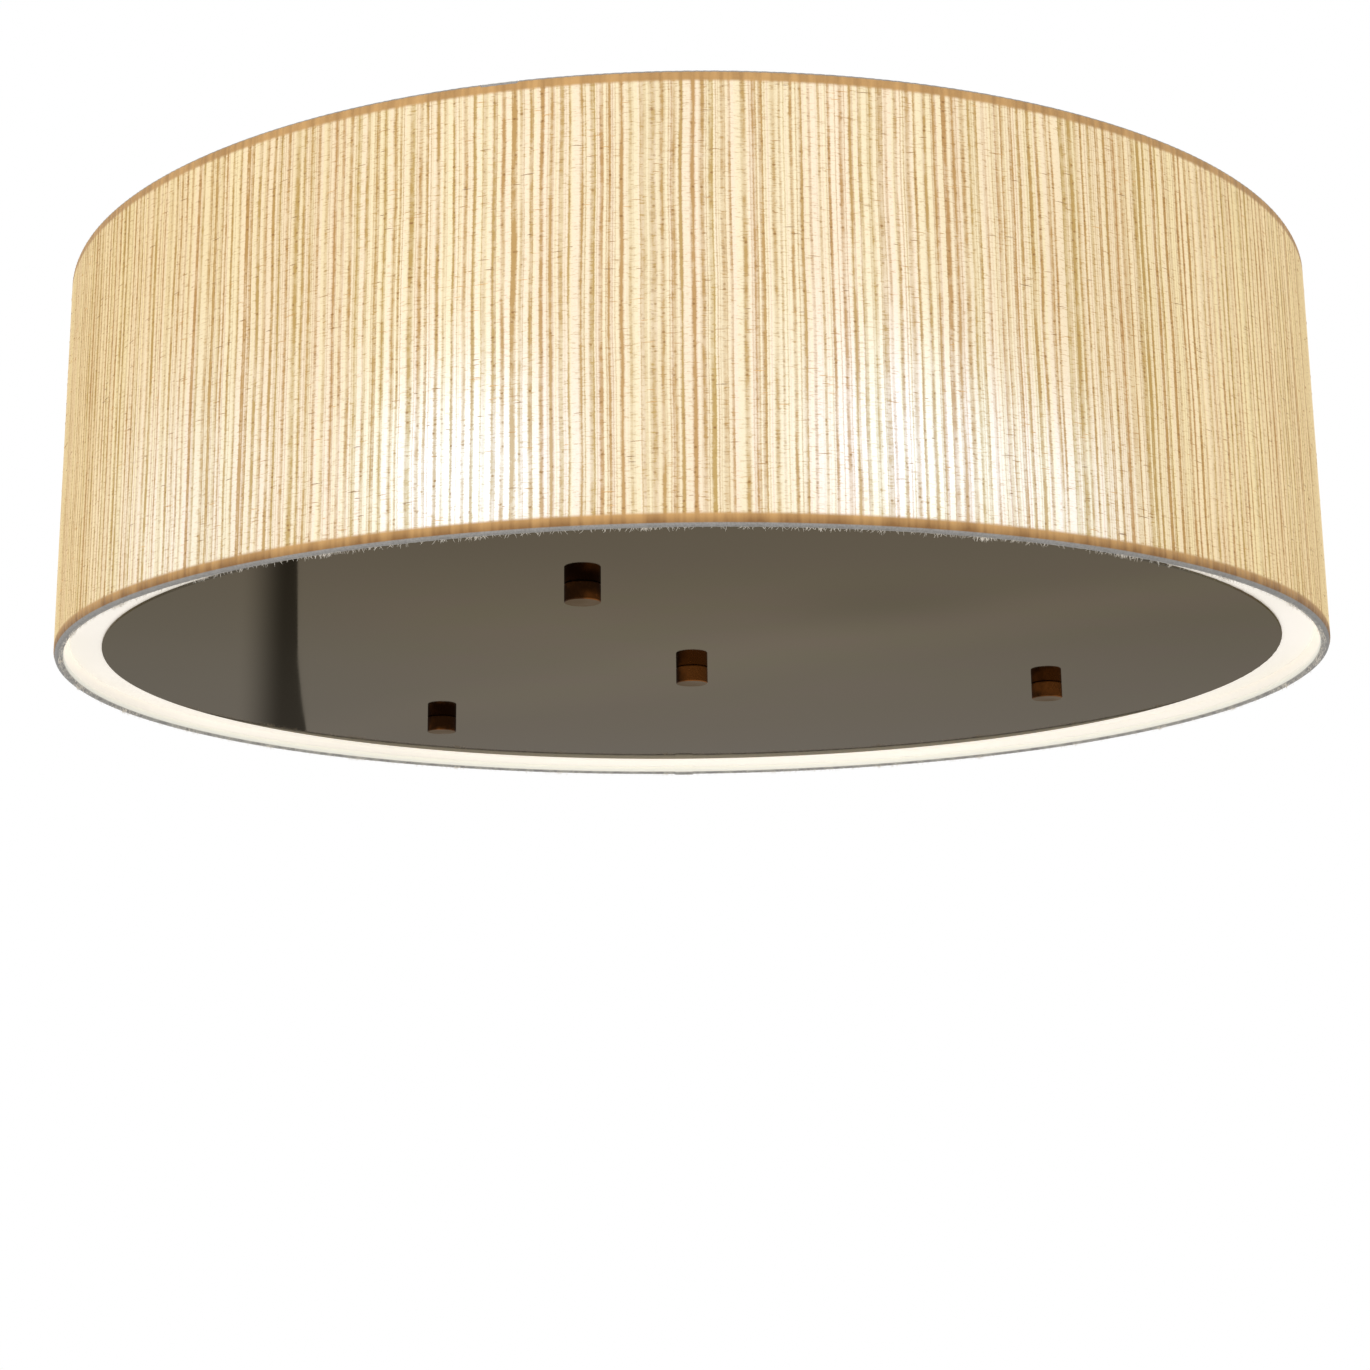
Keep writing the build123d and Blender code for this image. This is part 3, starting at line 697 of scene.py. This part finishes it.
def chance(tree, seed, low, high):
    """A random number for each point."""
    made = tree.nodes.new("FunctionNodeRandomValue")
    made.data_type = "FLOAT"
    plug(tree, made.inputs[2], low)
    plug(tree, made.inputs[3], high)
    plug(tree, made.inputs["Seed"], seed)
    return Field(tree, made.outputs[1])


def fibre_tree(name, fibre, sizes, lay, bow=(0.0, 0.0, 0.03)):
    """Scatters short tapered fibres. lay gives each one's middle and direction from its seed."""
    tree, given = geometry_tree(name, sizes)
    seed = given["Seed"]
    middle_place, direction = lay(tree, seed)
    points = placed(tree, add(tree, "GeometryNodeMeshLine", {"Count": given["Count"]}), middle_place)
    line = add(tree, "GeometryNodeCurveQuadraticBezier", {
        "Resolution": 5, "Start": (-0.5, 0.0, 0.0), "Middle": bow, "End": (0.5, 0.0, 0.0),
    })
    length = chance(tree, seed + 1, given["Shortest"], given["Longest"])
    copies = add(tree, "GeometryNodeInstanceOnPoints", {
        "Points": points, "Instance": line, "Scale": vector(tree, length, length, length),
        "Rotation": add(tree, "FunctionNodeAlignRotationToVector", {"Vector": direction}, axis="X"),
    })
    curves = add(tree, "GeometryNodeRealizeInstances", {0: copies})
    taper = (add(tree, "GeometryNodeSplineParameter") * math.pi).math("SINE") * 0.8 + 0.2
    profile = add(tree, "GeometryNodeCurvePrimitiveCircle", {"Resolution": 4, "Radius": 1.0})
    tubes = add(tree, "GeometryNodeCurveToMesh", {
        "Curve": curves, "Profile Curve": profile, "Scale": taper * given["Half Thickness"], "Fill Caps": True,
    })
    close_tree(tree, tubes, fibre)
    return tree


def slub_tree(settings):
    """Loose ends of weft that lie across the ribs."""
    def lay(tree, seed):
        angle = chance(tree, seed + 2, 0.0, math.tau)
        height = chance(tree, seed + 3, HEM_SEAM + 1 * MM, HEM_SEAM_TOP - 1 * MM)
        sine, cosine = angle.math("SINE"), angle.math("COSINE")
        place = vector(tree, cosine * DRUM_RADIUS, sine * DRUM_RADIUS, height)
        return place, vector(tree, sine * -1, cosine, chance(tree, seed + 4, -0.09, 0.09))

    # The threads glow with painted lamp light: their own colour, warmed, at 0.6 strength.
    made, tree, shader = material("slub_thread", (150, 112, 64), 0.85, sheen_weight=0.2, emission_strength=0.6)
    place = object_place(tree)
    spread = noise(tree, place, 60.0, 2.0)
    colour = mix_colours(tree, spread.ramp(0.3, 0.7), linear((196, 160, 104)), list(settings.brown) + [1])
    feed(tree, shader, base_color=colour)
    feed(tree, shader, emission_color=mix_colours(tree, 1.0, colour, (0.9, 0.75, 0.5, 1), "MULTIPLY"))
    bump(tree, noise(tree, place, 5000.0, 2.0), 0.5, 0.05 * MM, shader)
    return fibre_tree("Slub Threads", made, {
        "Count": settings.slub_count, "Seed": 11,
        "Shortest": 1.5 * MM, "Longest": 6 * MM, "Half Thickness": 0.13 * MM,
    }, lay)


def fray_tree(settings):
    """Cut fibres that stick out of the lower hem's edge."""
    def lay(tree, seed):
        even = chance(tree, seed + 2, 0.0, math.tau)
        angle = even + (even * 29).math("SINE") * 0.03
        roll = chance(tree, seed + 3, 1.45, 2.5)
        side = chance(tree, seed + 4, -0.9, 0.9)
        sine, cosine = angle.math("SINE"), angle.math("COSINE")
        radius = roll.math("COSINE") * HEM_RADIUS + RING_RADIUS
        height = roll.math("SINE") * -HEM_RADIUS + BOTTOM_RING_Z
        place = vector(tree, radius * cosine, radius * sine, height)
        inward = chance(tree, seed + 5, -0.6, 0.25)
        down = chance(tree, seed + 6, -1.3, -0.3)
        return place, vector(tree, inward * cosine - side * sine, inward * sine + side * cosine, down)

    # The fibres glow with painted light, their own colour at 0.3 strength, so that they look lit.
    made, tree, shader = material("frayed_fibre", (214, 208, 198), 0.8, sheen_weight=0.3, emission_strength=0.3)
    place = object_place(tree)
    colour = mix_colours(tree, noise(tree, place, 90.0, 2.0), linear((226, 222, 214)), linear((186, 176, 160)))
    feed(tree, shader, base_color=colour)
    feed(tree, shader, emission_color=colour)
    bump(tree, noise(tree, place, 6000.0, 2.0), 0.5, 0.03 * MM, shader)
    return fibre_tree("Hem Frays", made, {
        "Count": settings.fray_count, "Seed": 23,
        "Shortest": 1.4 * MM, "Longest": 3.8 * MM, "Half Thickness": 0.08 * MM,
    }, lay, (0.0, 0.12, 0.1))


class CEILING_LIGHT_OT_cloth(bpy.types.Operator):
    """Make the ribbed cloth, rolled over both rings and lapped at the back, with its loose fibres"""

    bl_idname = "ceiling_light.cloth"
    bl_label = "Shade Cloth"

    def execute(self, context):
        settings = context.scene.shade_settings
        glow_group()
        section, rows = cloth_section()
        piece = grow("shade_cloth", cloth_tree(settings, cloth_material(settings), rows), section)
        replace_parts(ride_root(piece), "shade_fabric")
        threads = grow("slub_threads", slub_tree(settings))
        frays = grow("hem_frays", fray_tree(settings))
        ride_root(threads)
        ride_root(frays)
        return {"FINISHED"}


class CEILING_LIGHT_OT_cover(bpy.types.Operator):
    """Finish the diffuser, the base plate and the knobs"""

    bl_idname = "ceiling_light.cover"
    bl_label = "Diffuser, Plate and Knobs"

    def execute(self, context):
        settings = context.scene.cover_settings
        paint(opal_material(), "diffuser_disc")
        paint(plate_material(settings), "base_plate")
        paint(bronze_material(settings), "centre_knob", *numbered("knob", ROD_COUNT))
        return {"FINISHED"}


OPAL_LIGHTS = (0.4, 0.37, 0.345, 1), (0.37, 0.345, 0.31, 1)
LINER_LIGHTS = (0.3, 0.29, 0.28, 1), (0.4, 0.39, 0.37, 1)


def opal_material():
    made, tree, shader = material("opal_acrylic", (232, 227, 216), 0.35, emission_strength=1.0)
    marks = surface_marks(tree, 300.0)
    clouds = marks["Clouds"].ramp(0.35, 0.65)
    toned(tree, shader, clouds, (236, 230, 218), (228, 222, 209))
    feed(tree, shader, emission_color=mix_colours(tree, clouds, *OPAL_LIGHTS))
    bump(tree, marks["Grain"], 0.3, 0.01 * MM, shader)
    return made


# Painted tints of what the plate mirrors: two that alternate, then at its left, its far and its near side.
PLATE_TINTS = (0.98, 1.025, 0.92, 1), (1.03, 0.98, 1.02, 1)
LEFT_TINT, FAR_TINT, NEAR_TINT = (0.93, 1.0, 1.08, 1), (1.02, 0.88, 0.66, 1), (0.92, 0.97, 1.12, 1)
PLATE_CENTRE, PLATE_REFLECTION_SPOT = (0.0, 0.02, PLATE_LOW.z), (0.085, -0.135, PLATE_LOW.z)
SPOT_RADIUS = 70 * MM
BAND_HALF_WIDTH = 60 * MM
PLATE_GLOSS, BRONZE_GLOSS = (0.51, 0.472, 0.418, 1.0), (0.5, 0.45, 0.4, 1.0)


def plate_material(settings):
    """Satin dark nickel that mirrors what stands below it, with slow clouds and fine brushing, and painted
    reflections in its colour: a lighter middle, a paler band, a dark spot and tints by side.
    """
    rough = settings.plate_roughness
    made, tree, shader = material("satin_plate", (96, 92, 80), rough, 1.0, specular_tint=PLATE_GLOSS)
    place = object_place(tree)
    marks = surface_marks(tree, 420.0)
    x, y = place.part(0), place.part(1)
    brushed = noise(tree, vector(tree, x * 5, y * 900), 1.0, 3.0)
    slow = noise(tree, vector(tree, x * 3.1, y * 3.1 + 4.0), 1.0, 2.0)
    # Painted reflections in the colour: lighter towards the middle, and a paler band across.
    centre = distance(tree, place, PLATE_CENTRE).ramp(0.02, PLATE_HIGH.x, (0.24, -0.1))
    across = (x * 0.62 + y * 0.78 + (slow - 0.5) * 0.12).math("ABSOLUTE")
    reflected_band = across.ramp(0.0, BAND_HALF_WIDTH, (0.17, 0.0))
    # A painted dark spot: the reflection of something dark below the plate.
    shadow = distance(tree, place, PLATE_REFLECTION_SPOT).ramp(0.0, SPOT_RADIUS, (-0.22, 0.0))
    level = centre + reflected_band + shadow + (slow - 0.5) * 0.4 + 0.95 + (marks["Clouds"] - 0.5) * 0.08
    values = {0: tuple(settings.plate), "Scale": level}
    colour = add(tree, "ShaderNodeVectorMath", values, operation="SCALE")
    hue = noise(tree, vector(tree, x * 17, y * 24, 7.0), 1.0, 3.0).ramp(0.36, 0.64)
    tint = mix_colours(tree, hue, *PLATE_TINTS)
    tint = mix_colours(tree, x.ramp(-0.1, -0.22), tint, LEFT_TINT)
    tint = mix_colours(tree, y.ramp(-0.02, 0.25, (0.0, 0.8)), tint, FAR_TINT)
    tint = mix_colours(tree, y.ramp(-0.12, -0.26), tint, NEAR_TINT)
    feed(tree, shader, base_color=mix_colours(tree, 1.0, colour, tint, "MULTIPLY"))
    blurred = marks["Clouds"].ramp(0.3, 0.7, (rough * 0.8, rough * 1.3)) + brushed * 0.01
    feed(tree, shader, roughness=blurred)
    bump(tree, brushed, 0.12, 0.004 * MM, shader)
    return made


def bronze_material(settings):
    """Aged bronze: warm brown with darker clouds, and a flat end painted a paler grey-brown, fully metallic, for
    the reflection it shows.
    """
    made, tree, shader = material("aged_bronze", (110, 66, 36), 0.3, 0.75, specular_tint=BRONZE_GLOSS)
    marks = surface_marks(tree, 2600.0)
    colour = list(settings.bronze) + [1.0]
    dark = [c * 0.18 for c in settings.bronze] + [1.0]
    aged = mix_colours(tree, marks["Clouds"].ramp(0.4, 0.58), colour, dark)
    # The downward flat end gets a paler grey-brown colour: a painted reflection.
    flat = add(tree, "ShaderNodeNewGeometry", output="Normal").part(2).ramp(-0.85, -0.97)
    end = mix_colours(tree, marks["Clouds"], linear((112, 98, 82)), linear((98, 84, 68)))
    feed(tree, shader, base_color=mix_colours(tree, flat, aged, end))
    feed(tree, shader, metallic=flat * 0.25 + 0.75)
    feed(tree, shader, roughness=marks["Clouds"].ramp(0.3, 0.7, (0.26, 0.42)) + marks["Dust"] * 0.1)
    bump(tree, marks["Grain"], 0.2, 0.02 * MM, shader)
    return made


# ---- fittings ----

def numbered(name, count):
    return [f"{name}_{n}" for n in range(1, count + 1)]


def styrene_material():
    """Translucent sheet behind the cloth, lit by the lamps, with faint rolling lines."""
    made, tree, shader = material("styrene", (236, 228, 208), 0.5, emission_strength=1.0)
    place = object_place(tree)
    marks = surface_marks(tree, 250.0)
    lines = vector(tree, place.part(0) * 3, place.part(1) * 3, place.part(2) * 400)
    rolling = noise(tree, lines, 1.0, 2.0)
    tone = (marks["Clouds"] * 0.5 + rolling * 0.5).ramp(0.35, 0.65)
    toned(tree, shader, tone, (236, 233, 226), (227, 223, 214))
    feed(tree, shader, emission_color=mix_colours(tree, lamp_glow(tree), *LINER_LIGHTS))
    bump(tree, rolling, 0.2, 0.02 * MM, shader)
    return made


def zinc_material():
    """Bright zinc plate: small crystals, fine scratches and dust."""
    made, tree, shader = material("zinc_plate", (182, 184, 186), 0.34, 1.0)
    marks = surface_marks(tree, 1500.0)
    values = {0: object_place(tree), "Scale": 420.0}
    _, toss = cells(tree, add(tree, "ShaderNodeVectorMath", values, operation="SCALE"), "3D")
    tone = mix_colours(tree, toss.part(0), linear((190, 192, 194)), linear((164, 167, 170)))
    feed(tree, shader, base_color=mix_colours(tree, marks["Dust"] * 0.3, tone, linear((150, 146, 138))))
    feed(tree, shader, roughness=toss.part(1).ramp(0.0, 1.0, (0.26, 0.4)) + marks["Dust"] * 0.15)
    bump(tree, marks["Grain"], 0.3, 0.01 * MM, shader)
    return made


def brass_material():
    """Stamped brass, browner in the clouds where it has tarnished."""
    made, tree, shader = material("contact_brass", (205, 168, 92), 0.28, 1.0)
    marks = surface_marks(tree, 1800.0)
    toned(tree, shader, marks["Clouds"].ramp(0.4, 0.7), (212, 176, 100), (158, 116, 58))
    feed(tree, shader, roughness=marks["Clouds"].ramp(0.3, 0.7, (0.22, 0.42)))
    bump(tree, marks["Grain"], 0.3, 0.015 * MM, shader)
    return made


def porcelain_material():
    """White glazed porcelain with faint specks under its glaze."""
    made, tree, shader = material("porcelain", (238, 236, 228), 0.16, coat_weight=0.6, coat_roughness=0.06)
    marks = surface_marks(tree, 900.0)
    glaze = mix_colours(tree, marks["Clouds"].ramp(0.35, 0.7), linear((240, 238, 230)), linear((230, 226, 214)))
    specks = linear((176, 166, 148))
    feed(tree, shader, base_color=mix_colours(tree, marks["Dust"] * 0.35, glaze, specks))
    bump(tree, marks["Clouds"], 0.25, 0.1 * MM, shader)
    return made


def lamp_glass_material():
    """Frosted glass of a lit lamp, brightest round its middle and dimmer in its neck."""
    made, tree, shader = material("frosted_glass", (250, 246, 236), 0.4, emission_strength=0.9)
    marks = surface_marks(tree, 1200.0)
    neck, crown = LAMP_HIGH.z, LAMP_LOW.z
    lit = object_place(tree).part(2).ramp(neck, (neck + crown) / 2, (0.35, 1.0))
    warm = mix_colours(tree, lit, linear((255, 190, 120)), linear((255, 232, 196)))
    toned(tree, shader, marks["Clouds"], (250, 246, 236), (240, 234, 220))
    feed(tree, shader, emission_color=mix_colours(tree, lit, (0.1, 0.07, 0.04, 1), warm))
    bump(tree, marks["Grain"], 0.3, 0.02 * MM, shader)
    return made


class CEILING_LIGHT_OT_hardware(bpy.types.Operator):
    """Finish the liner, rings, arms, pan, strap and nuts"""

    bl_idname = "ceiling_light.hardware"
    bl_label = "Frame and Pan"

    def execute(self, context):
        paint(styrene_material(), "shade_liner")
        paint(grained("ring_wire", (206, 206, 202), 0.45, scale=1400.0), "bottom_ring", "top_ring")
        coat = grained("white_powder_coat", (228, 227, 220), 0.42, scale=1900.0, depth=0.06 * MM, tint=0.06)
        paint(coat, "shade_arms")
        enamel = {"scale": 420.0, "depth": 0.08 * MM, "tint": 0.05, "coat_weight": 0.3}
        paint(grained("white_enamel", (233, 232, 227), 0.28, **enamel), "ceiling_pan")
        paint(
            zinc_material(), "mounting_strap", "nipple_nuts", "centre_coupling", "rod_nuts", "arm_washers",
            "stop_washers", "stop_nuts", "holder_screws",
        )
        paint(grained("green_screw", (38, 112, 60), 0.34, 0.4, scale=2200.0, tint=0.3), "earth_screw")
        return {"FINISHED"}


class CEILING_LIGHT_OT_lamps(bpy.types.Operator):
    """Finish the lamp holders and the lamps"""

    bl_idname = "ceiling_light.lamps"
    bl_label = "Lamps"

    def execute(self, context):
        paint(porcelain_material(), *numbered("holder_body", LAMP_COUNT))
        paint(brass_material(), "centre_contacts", *numbered("holder_shell", LAMP_COUNT))
        caps = grained("lamp_cap", (198, 199, 202), 0.3, 1.0, scale=1600.0, tint=0.2)
        paint(caps, *numbered("lamp_cap", LAMP_COUNT))
        paint(lamp_glass_material(), *numbered("lamp_glass", LAMP_COUNT))
        return {"FINISHED"}


class CEILING_LIGHT_OT_wiring(bpy.types.Operator):
    """Finish the leads, bushings and connectors in the pan"""

    bl_idname = "ceiling_light.wiring"
    bl_label = "Wiring"

    def execute(self, context):
        paint(grained("live_sleeve", (30, 29, 30), 0.42, scale=1500.0, tint=0.3), "live_leads")
        paint(grained("neutral_sleeve", (222, 220, 213), 0.42, scale=1500.0), "neutral_leads")
        paint(grained("bushing_nylon", (44, 44, 46), 0.5, scale=1300.0, tint=0.3), "lead_bushings")
        paint(grained("connector_plastic", (206, 164, 62), 0.38, scale=1100.0, tint=0.2), "wire_connectors")
        return {"FINISHED"}


def thread_tree(metal, sizes):
    """A screw thread with flat ends: the grid goes once round while its rows climb by one pitch."""
    tree, given = geometry_tree("Screw Thread", sizes)
    pitch, length = given["Pitch"], given["Length"]
    rows = (length / pitch * 2.0).math("CEIL") + 5.0 + given["Hollow"]
    top = rows - 1.0 - given["Hollow"]
    grid, column, row = grid_of(tree, given["Columns"] + 1, rows)
    share = column / given["Columns"]
    climb = ((row - 1.0) * 0.5 - 1.0 + share) * pitch
    height = climb.math("MAXIMUM", 0.0).math("MINIMUM", length) * row.less(top + 0.5)
    parity = (row * 0.5).math("FRACT") * 2.0
    inside = climb.math("GREATER_THAN", 0.0) * climb.less(length)
    thread = given["Root"] + (given["Crest"] - given["Root"]) * (1 - parity) * inside
    end = row.less(0.5).math("MAXIMUM", row.math("GREATER_THAN", top - 0.5))
    radius = thread + (given["Bore"] - thread) * end
    angle = share * math.tau
    point = vector(tree, radius * angle.math("COSINE"), radius * angle.math("SINE"), height)
    values = {"Geometry": placed(tree, grid, point), "Distance": 0.002 * MM}
    rod = add(tree, "GeometryNodeMergeByDistance", values)
    copies = add(tree, "GeometryNodeInstanceOnPoints", {"Points": given["Geometry"], "Instance": rod})
    close_tree(tree, copies, metal)
    return tree


def threaded(name, node, places, metal, **sizes):
    """Threaded rods in place of a frame node: they start at its foot, at each of the places."""
    low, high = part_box(node)
    mesh = bpy.data.meshes.new(name)
    mesh.from_pydata([(x, y, low.z) for x, y in places], [], [])
    piece = grow(name, thread_tree(metal, {"Length": high.z - low.z, **sizes}), mesh)
    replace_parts(ride_root(piece), node)


class CEILING_LIGHT_OT_threads(bpy.types.Operator):
    """Cut the threads of the rods and of the hollow nipple"""

    bl_idname = "ceiling_light.threads"
    bl_label = "Threads"

    def execute(self, context):
        settings = context.scene.thread_settings
        metal = zinc_material()
        low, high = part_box("centre_rod")
        crest = (high.x - low.x) / 2
        sizes = {
            "Crest": crest, "Root": crest - settings.rod_depth, "Pitch": settings.rod_pitch, "Bore": 0.0,
            "Hollow": 0, "Columns": 12,
        }
        threaded("centre_thread", "centre_rod", [(0.0, 0.0)], metal, **sizes)
        threaded("support_threads", "support_rods", [place.xy for place in RODS], metal, **sizes)
        low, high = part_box("strap_nipple")
        crest = (high.x - low.x) / 2
        threaded(
            "nipple_thread", "strap_nipple", [(0.0, 0.0)], metal, Crest=crest, Root=crest - settings.nipple_depth,
            Pitch=settings.nipple_pitch, Bore=settings.nipple_bore / 2, Hollow=1, Columns=20,
        )
        return {"FINISHED"}


# ---- stage ----

CAMERA_PLACE = Vector((0.0, -1187.1, -418.1)) * MM
CAMERA_YAW, CAMERA_PITCH, CAMERA_ROLL = (math.radians(d) for d in (-0.13, 13.97, -0.65))
CAMERA_SHIFT = -0.1


def camera_axes():
    """The camera's right, up and forward directions."""
    forward = Vector((
        math.sin(CAMERA_YAW) * math.cos(CAMERA_PITCH),
        math.cos(CAMERA_YAW) * math.cos(CAMERA_PITCH),
        math.sin(CAMERA_PITCH),
    ))
    right = Vector((math.cos(CAMERA_YAW), -math.sin(CAMERA_YAW), 0.0))
    up = right.cross(forward)
    cosine, sine = math.cos(CAMERA_ROLL), math.sin(CAMERA_ROLL)
    return right * cosine + up * sine, up * cosine - right * sine, forward


def make_camera(settings):
    camera = bpy.data.cameras.new("camera")
    camera.lens = settings.lens
    camera.sensor_width = 36.0
    camera.shift_y = CAMERA_SHIFT
    seen = put_in_scene("camera", camera)
    right, up, forward = camera_axes()
    turned = Matrix((right, up, -forward)).transposed().to_4x4()
    seen.matrix_world = Matrix.Translation(CAMERA_PLACE) @ turned
    bpy.context.scene.camera = seen


def shows_white(tree):
    """One for the rays that show the studio directly, mirrored or through glass."""
    rays = tree.nodes.new("ShaderNodeLightPath")
    seen = Field(tree, rays.outputs["Is Camera Ray"]).math("MAXIMUM", rays.outputs["Is Glossy Ray"])
    return seen.math("MAXIMUM", rays.outputs["Is Transmission Ray"])


# How far above or below the horizon the mirrored studio turns white.
HORIZON_BAND = (0.14, 0.27)


def make_world(settings):
    world = bpy.data.worlds.new("studio")
    bpy.context.scene.world = world
    world.use_nodes = True
    tree = world.node_tree
    tree.nodes["Background"].inputs["Strength"].default_value = settings.sky
    tree.nodes["Background"].inputs["Color"].default_value = (1, 1, 1, 1)
    level = add(tree, "ShaderNodeTexCoord").part(2).math("ABSOLUTE")
    glossy = add(tree, "ShaderNodeLightPath", output="Is Glossy Ray")
    horizon = level.ramp(*HORIZON_BAND, (settings.horizon - 1, 0.0)) * glossy + 1.0
    white = add(tree, "ShaderNodeBackground", {"Color": (1, 1, 1, 1), "Strength": horizon})
    seen = shows_white(tree)
    both = add(tree, "ShaderNodeMixShader", {0: seen, 1: tree.nodes["Background"].outputs[0], 2: white})
    plug(tree, tree.nodes["World Output"].inputs["Surface"], both)


FLOOR_RADIUS = 6.0
FLOOR_MIRRORED, FLOOR_LIFT = 0.95, 0.44


def make_floor(settings):
    mesh = bpy.data.meshes.new("floor")
    build = bmesh.new()
    bmesh.ops.create_circle(build, cap_ends=True, segments=96, radius=FLOOR_RADIUS)
    bmesh.ops.translate(build, verts=build.verts, vec=(0, 0, -settings.floor_below))
    build.to_mesh(mesh)
    build.free()
    floor = put_in_scene("floor", mesh)
    made, tree, shader = material("pale_floor", (238, 237, 234), 0.9)
    glossy = add(tree, "ShaderNodeLightPath", output="Is Glossy Ray")
    white = add(tree, "ShaderNodeEmission", {"Color": (1, 1, 1, 1), "Strength": FLOOR_MIRRORED})
    both = add(tree, "ShaderNodeMixShader", {0: glossy, 1: shader.outputs[0], 2: white})
    lift = add(tree, "ShaderNodeLightPath", output="Is Camera Ray") * FLOOR_LIFT
    pale = add(tree, "ShaderNodeEmission", {"Color": (1, 1, 1, 1), "Strength": lift})
    lifted = add(tree, "ShaderNodeAddShader", {0: both, 1: pale})
    plug(tree, tree.nodes["Material Output"].inputs["Surface"], lifted)
    mesh.materials.append(made)


FRONT_LIGHT_PLACE, FRONT_LIGHT_AIM = Vector((-0.5, -2.6, -0.2)), Vector((0, 0, -0.1))
FRONT_LIGHT_SIZE = 1.6


def make_lights(settings):
    light = bpy.data.lights.new("front_light", "AREA")
    light.shape = "DISK"
    light.size = FRONT_LIGHT_SIZE
    light.energy = settings.key
    lamp = put_in_scene("front_light", light)
    lamp.location = FRONT_LIGHT_PLACE
    lamp.rotation_euler = (FRONT_LIGHT_AIM - lamp.location).to_track_quat("-Z", "Y").to_euler()
    lamp.visible_glossy = False
    lamp.visible_camera = False


# Right edge of the dark flag as (across, height), and where it stands behind the light.
FLAG_EDGE = (
    (-0.561, -0.86), (-0.559, -0.774), (-0.555, -0.636), (-0.548, -0.579), (-0.541, -0.54), (-0.53, -0.47),
)
FLAG_DEPTH = 2.2
FLAG_FADE = 0.095
FLAG_COLOUR = (0.15, 0.145, 0.135, 1)


def make_flag():
    """A dark flag with a soft left side, which only the plate's mirror image shows."""
    mesh = bpy.data.meshes.new("flag")
    right = [(x, FLAG_DEPTH, z) for x, z in FLAG_EDGE]
    left = [(x - FLAG_FADE, y, z) for x, y, z in right]
    count = len(right)
    faces = [(i, count + i, count + i + 1, i + 1) for i in range(count - 1)]
    mesh.from_pydata(right + left, [], faces)
    flag = put_in_scene("flag", mesh)
    made, tree, _ = material("dark_flag", (20, 18, 15), 1.0)
    across = object_place(tree).part(0)
    solid = across.ramp(FLAG_EDGE[0][0] - FLAG_FADE * 0.85, FLAG_EDGE[0][0] - 0.012)
    glossy = add(tree, "ShaderNodeLightPath", output="Is Glossy Ray")
    clear = add(tree, "ShaderNodeBsdfTransparent")
    dark = add(tree, "ShaderNodeEmission", {"Color": FLAG_COLOUR, "Strength": 1.0})
    both = add(tree, "ShaderNodeMixShader", {0: solid * glossy, 1: clear, 2: dark})
    plug(tree, tree.nodes["Material Output"].inputs["Surface"], both)
    mesh.materials.append(made)
    for switch in ("visible_camera", "visible_diffuse", "visible_shadow", "visible_transmission"):
        setattr(flag, switch, False)


class CEILING_LIGHT_OT_stage(bpy.types.Operator):
    """Make the floor, the even studio light and the camera"""

    bl_idname = "ceiling_light.stage"
    bl_label = "Stage"

    def execute(self, context):
        settings = context.scene.stage_settings
        make_camera(settings)
        make_world(settings)
        make_floor(settings)
        make_lights(settings)
        make_flag()
        context.scene.view_settings.view_transform = "Standard"
        return {"FINISHED"}


class CEILING_LIGHT_PT_panel(bpy.types.Panel):
    """Lists the pieces of the light"""

    bl_idname = "CEILING_LIGHT_PT_panel"
    bl_label = "Ceiling Light"
    bl_space_type = "VIEW_3D"
    bl_region_type = "UI"
    bl_category = "Ceiling Light"

    def draw(self, context):
        for group in SETTINGS:
            settings = getattr(context.scene, group)
            for name in settings.__annotations__:
                self.layout.prop(settings, name)
        for operator in OPERATORS:
            self.layout.operator(operator.bl_idname)


OPERATORS = (
    CEILING_LIGHT_OT_stage,
    CEILING_LIGHT_OT_cloth,
    CEILING_LIGHT_OT_cover,
    CEILING_LIGHT_OT_hardware,
    CEILING_LIGHT_OT_lamps,
    CEILING_LIGHT_OT_wiring,
    CEILING_LIGHT_OT_threads,
)
SETTINGS = {
    "shade_settings": ShadeSettings,
    "cover_settings": CoverSettings,
    "thread_settings": ThreadSettings,
    "stage_settings": StageSettings,
}
CLASSES = (*SETTINGS.values(), *OPERATORS, CEILING_LIGHT_PT_panel)


def register():
    for made in CLASSES:
        bpy.utils.register_class(made)
    for name, group in SETTINGS.items():
        setattr(bpy.types.Scene, name, PointerProperty(type=group))


def unregister():
    for name in SETTINGS:
        delattr(bpy.types.Scene, name)
    for made in reversed(CLASSES):
        bpy.utils.unregister_class(made)


def main():
    register()
    for operator in OPERATORS:
        group, name = operator.bl_idname.split(".")
        if getattr(getattr(bpy.ops, group), name)() != {"FINISHED"}:
            raise RuntimeError(f"{operator.bl_label} didn't finish")


if __name__ == "__main__":
    main()
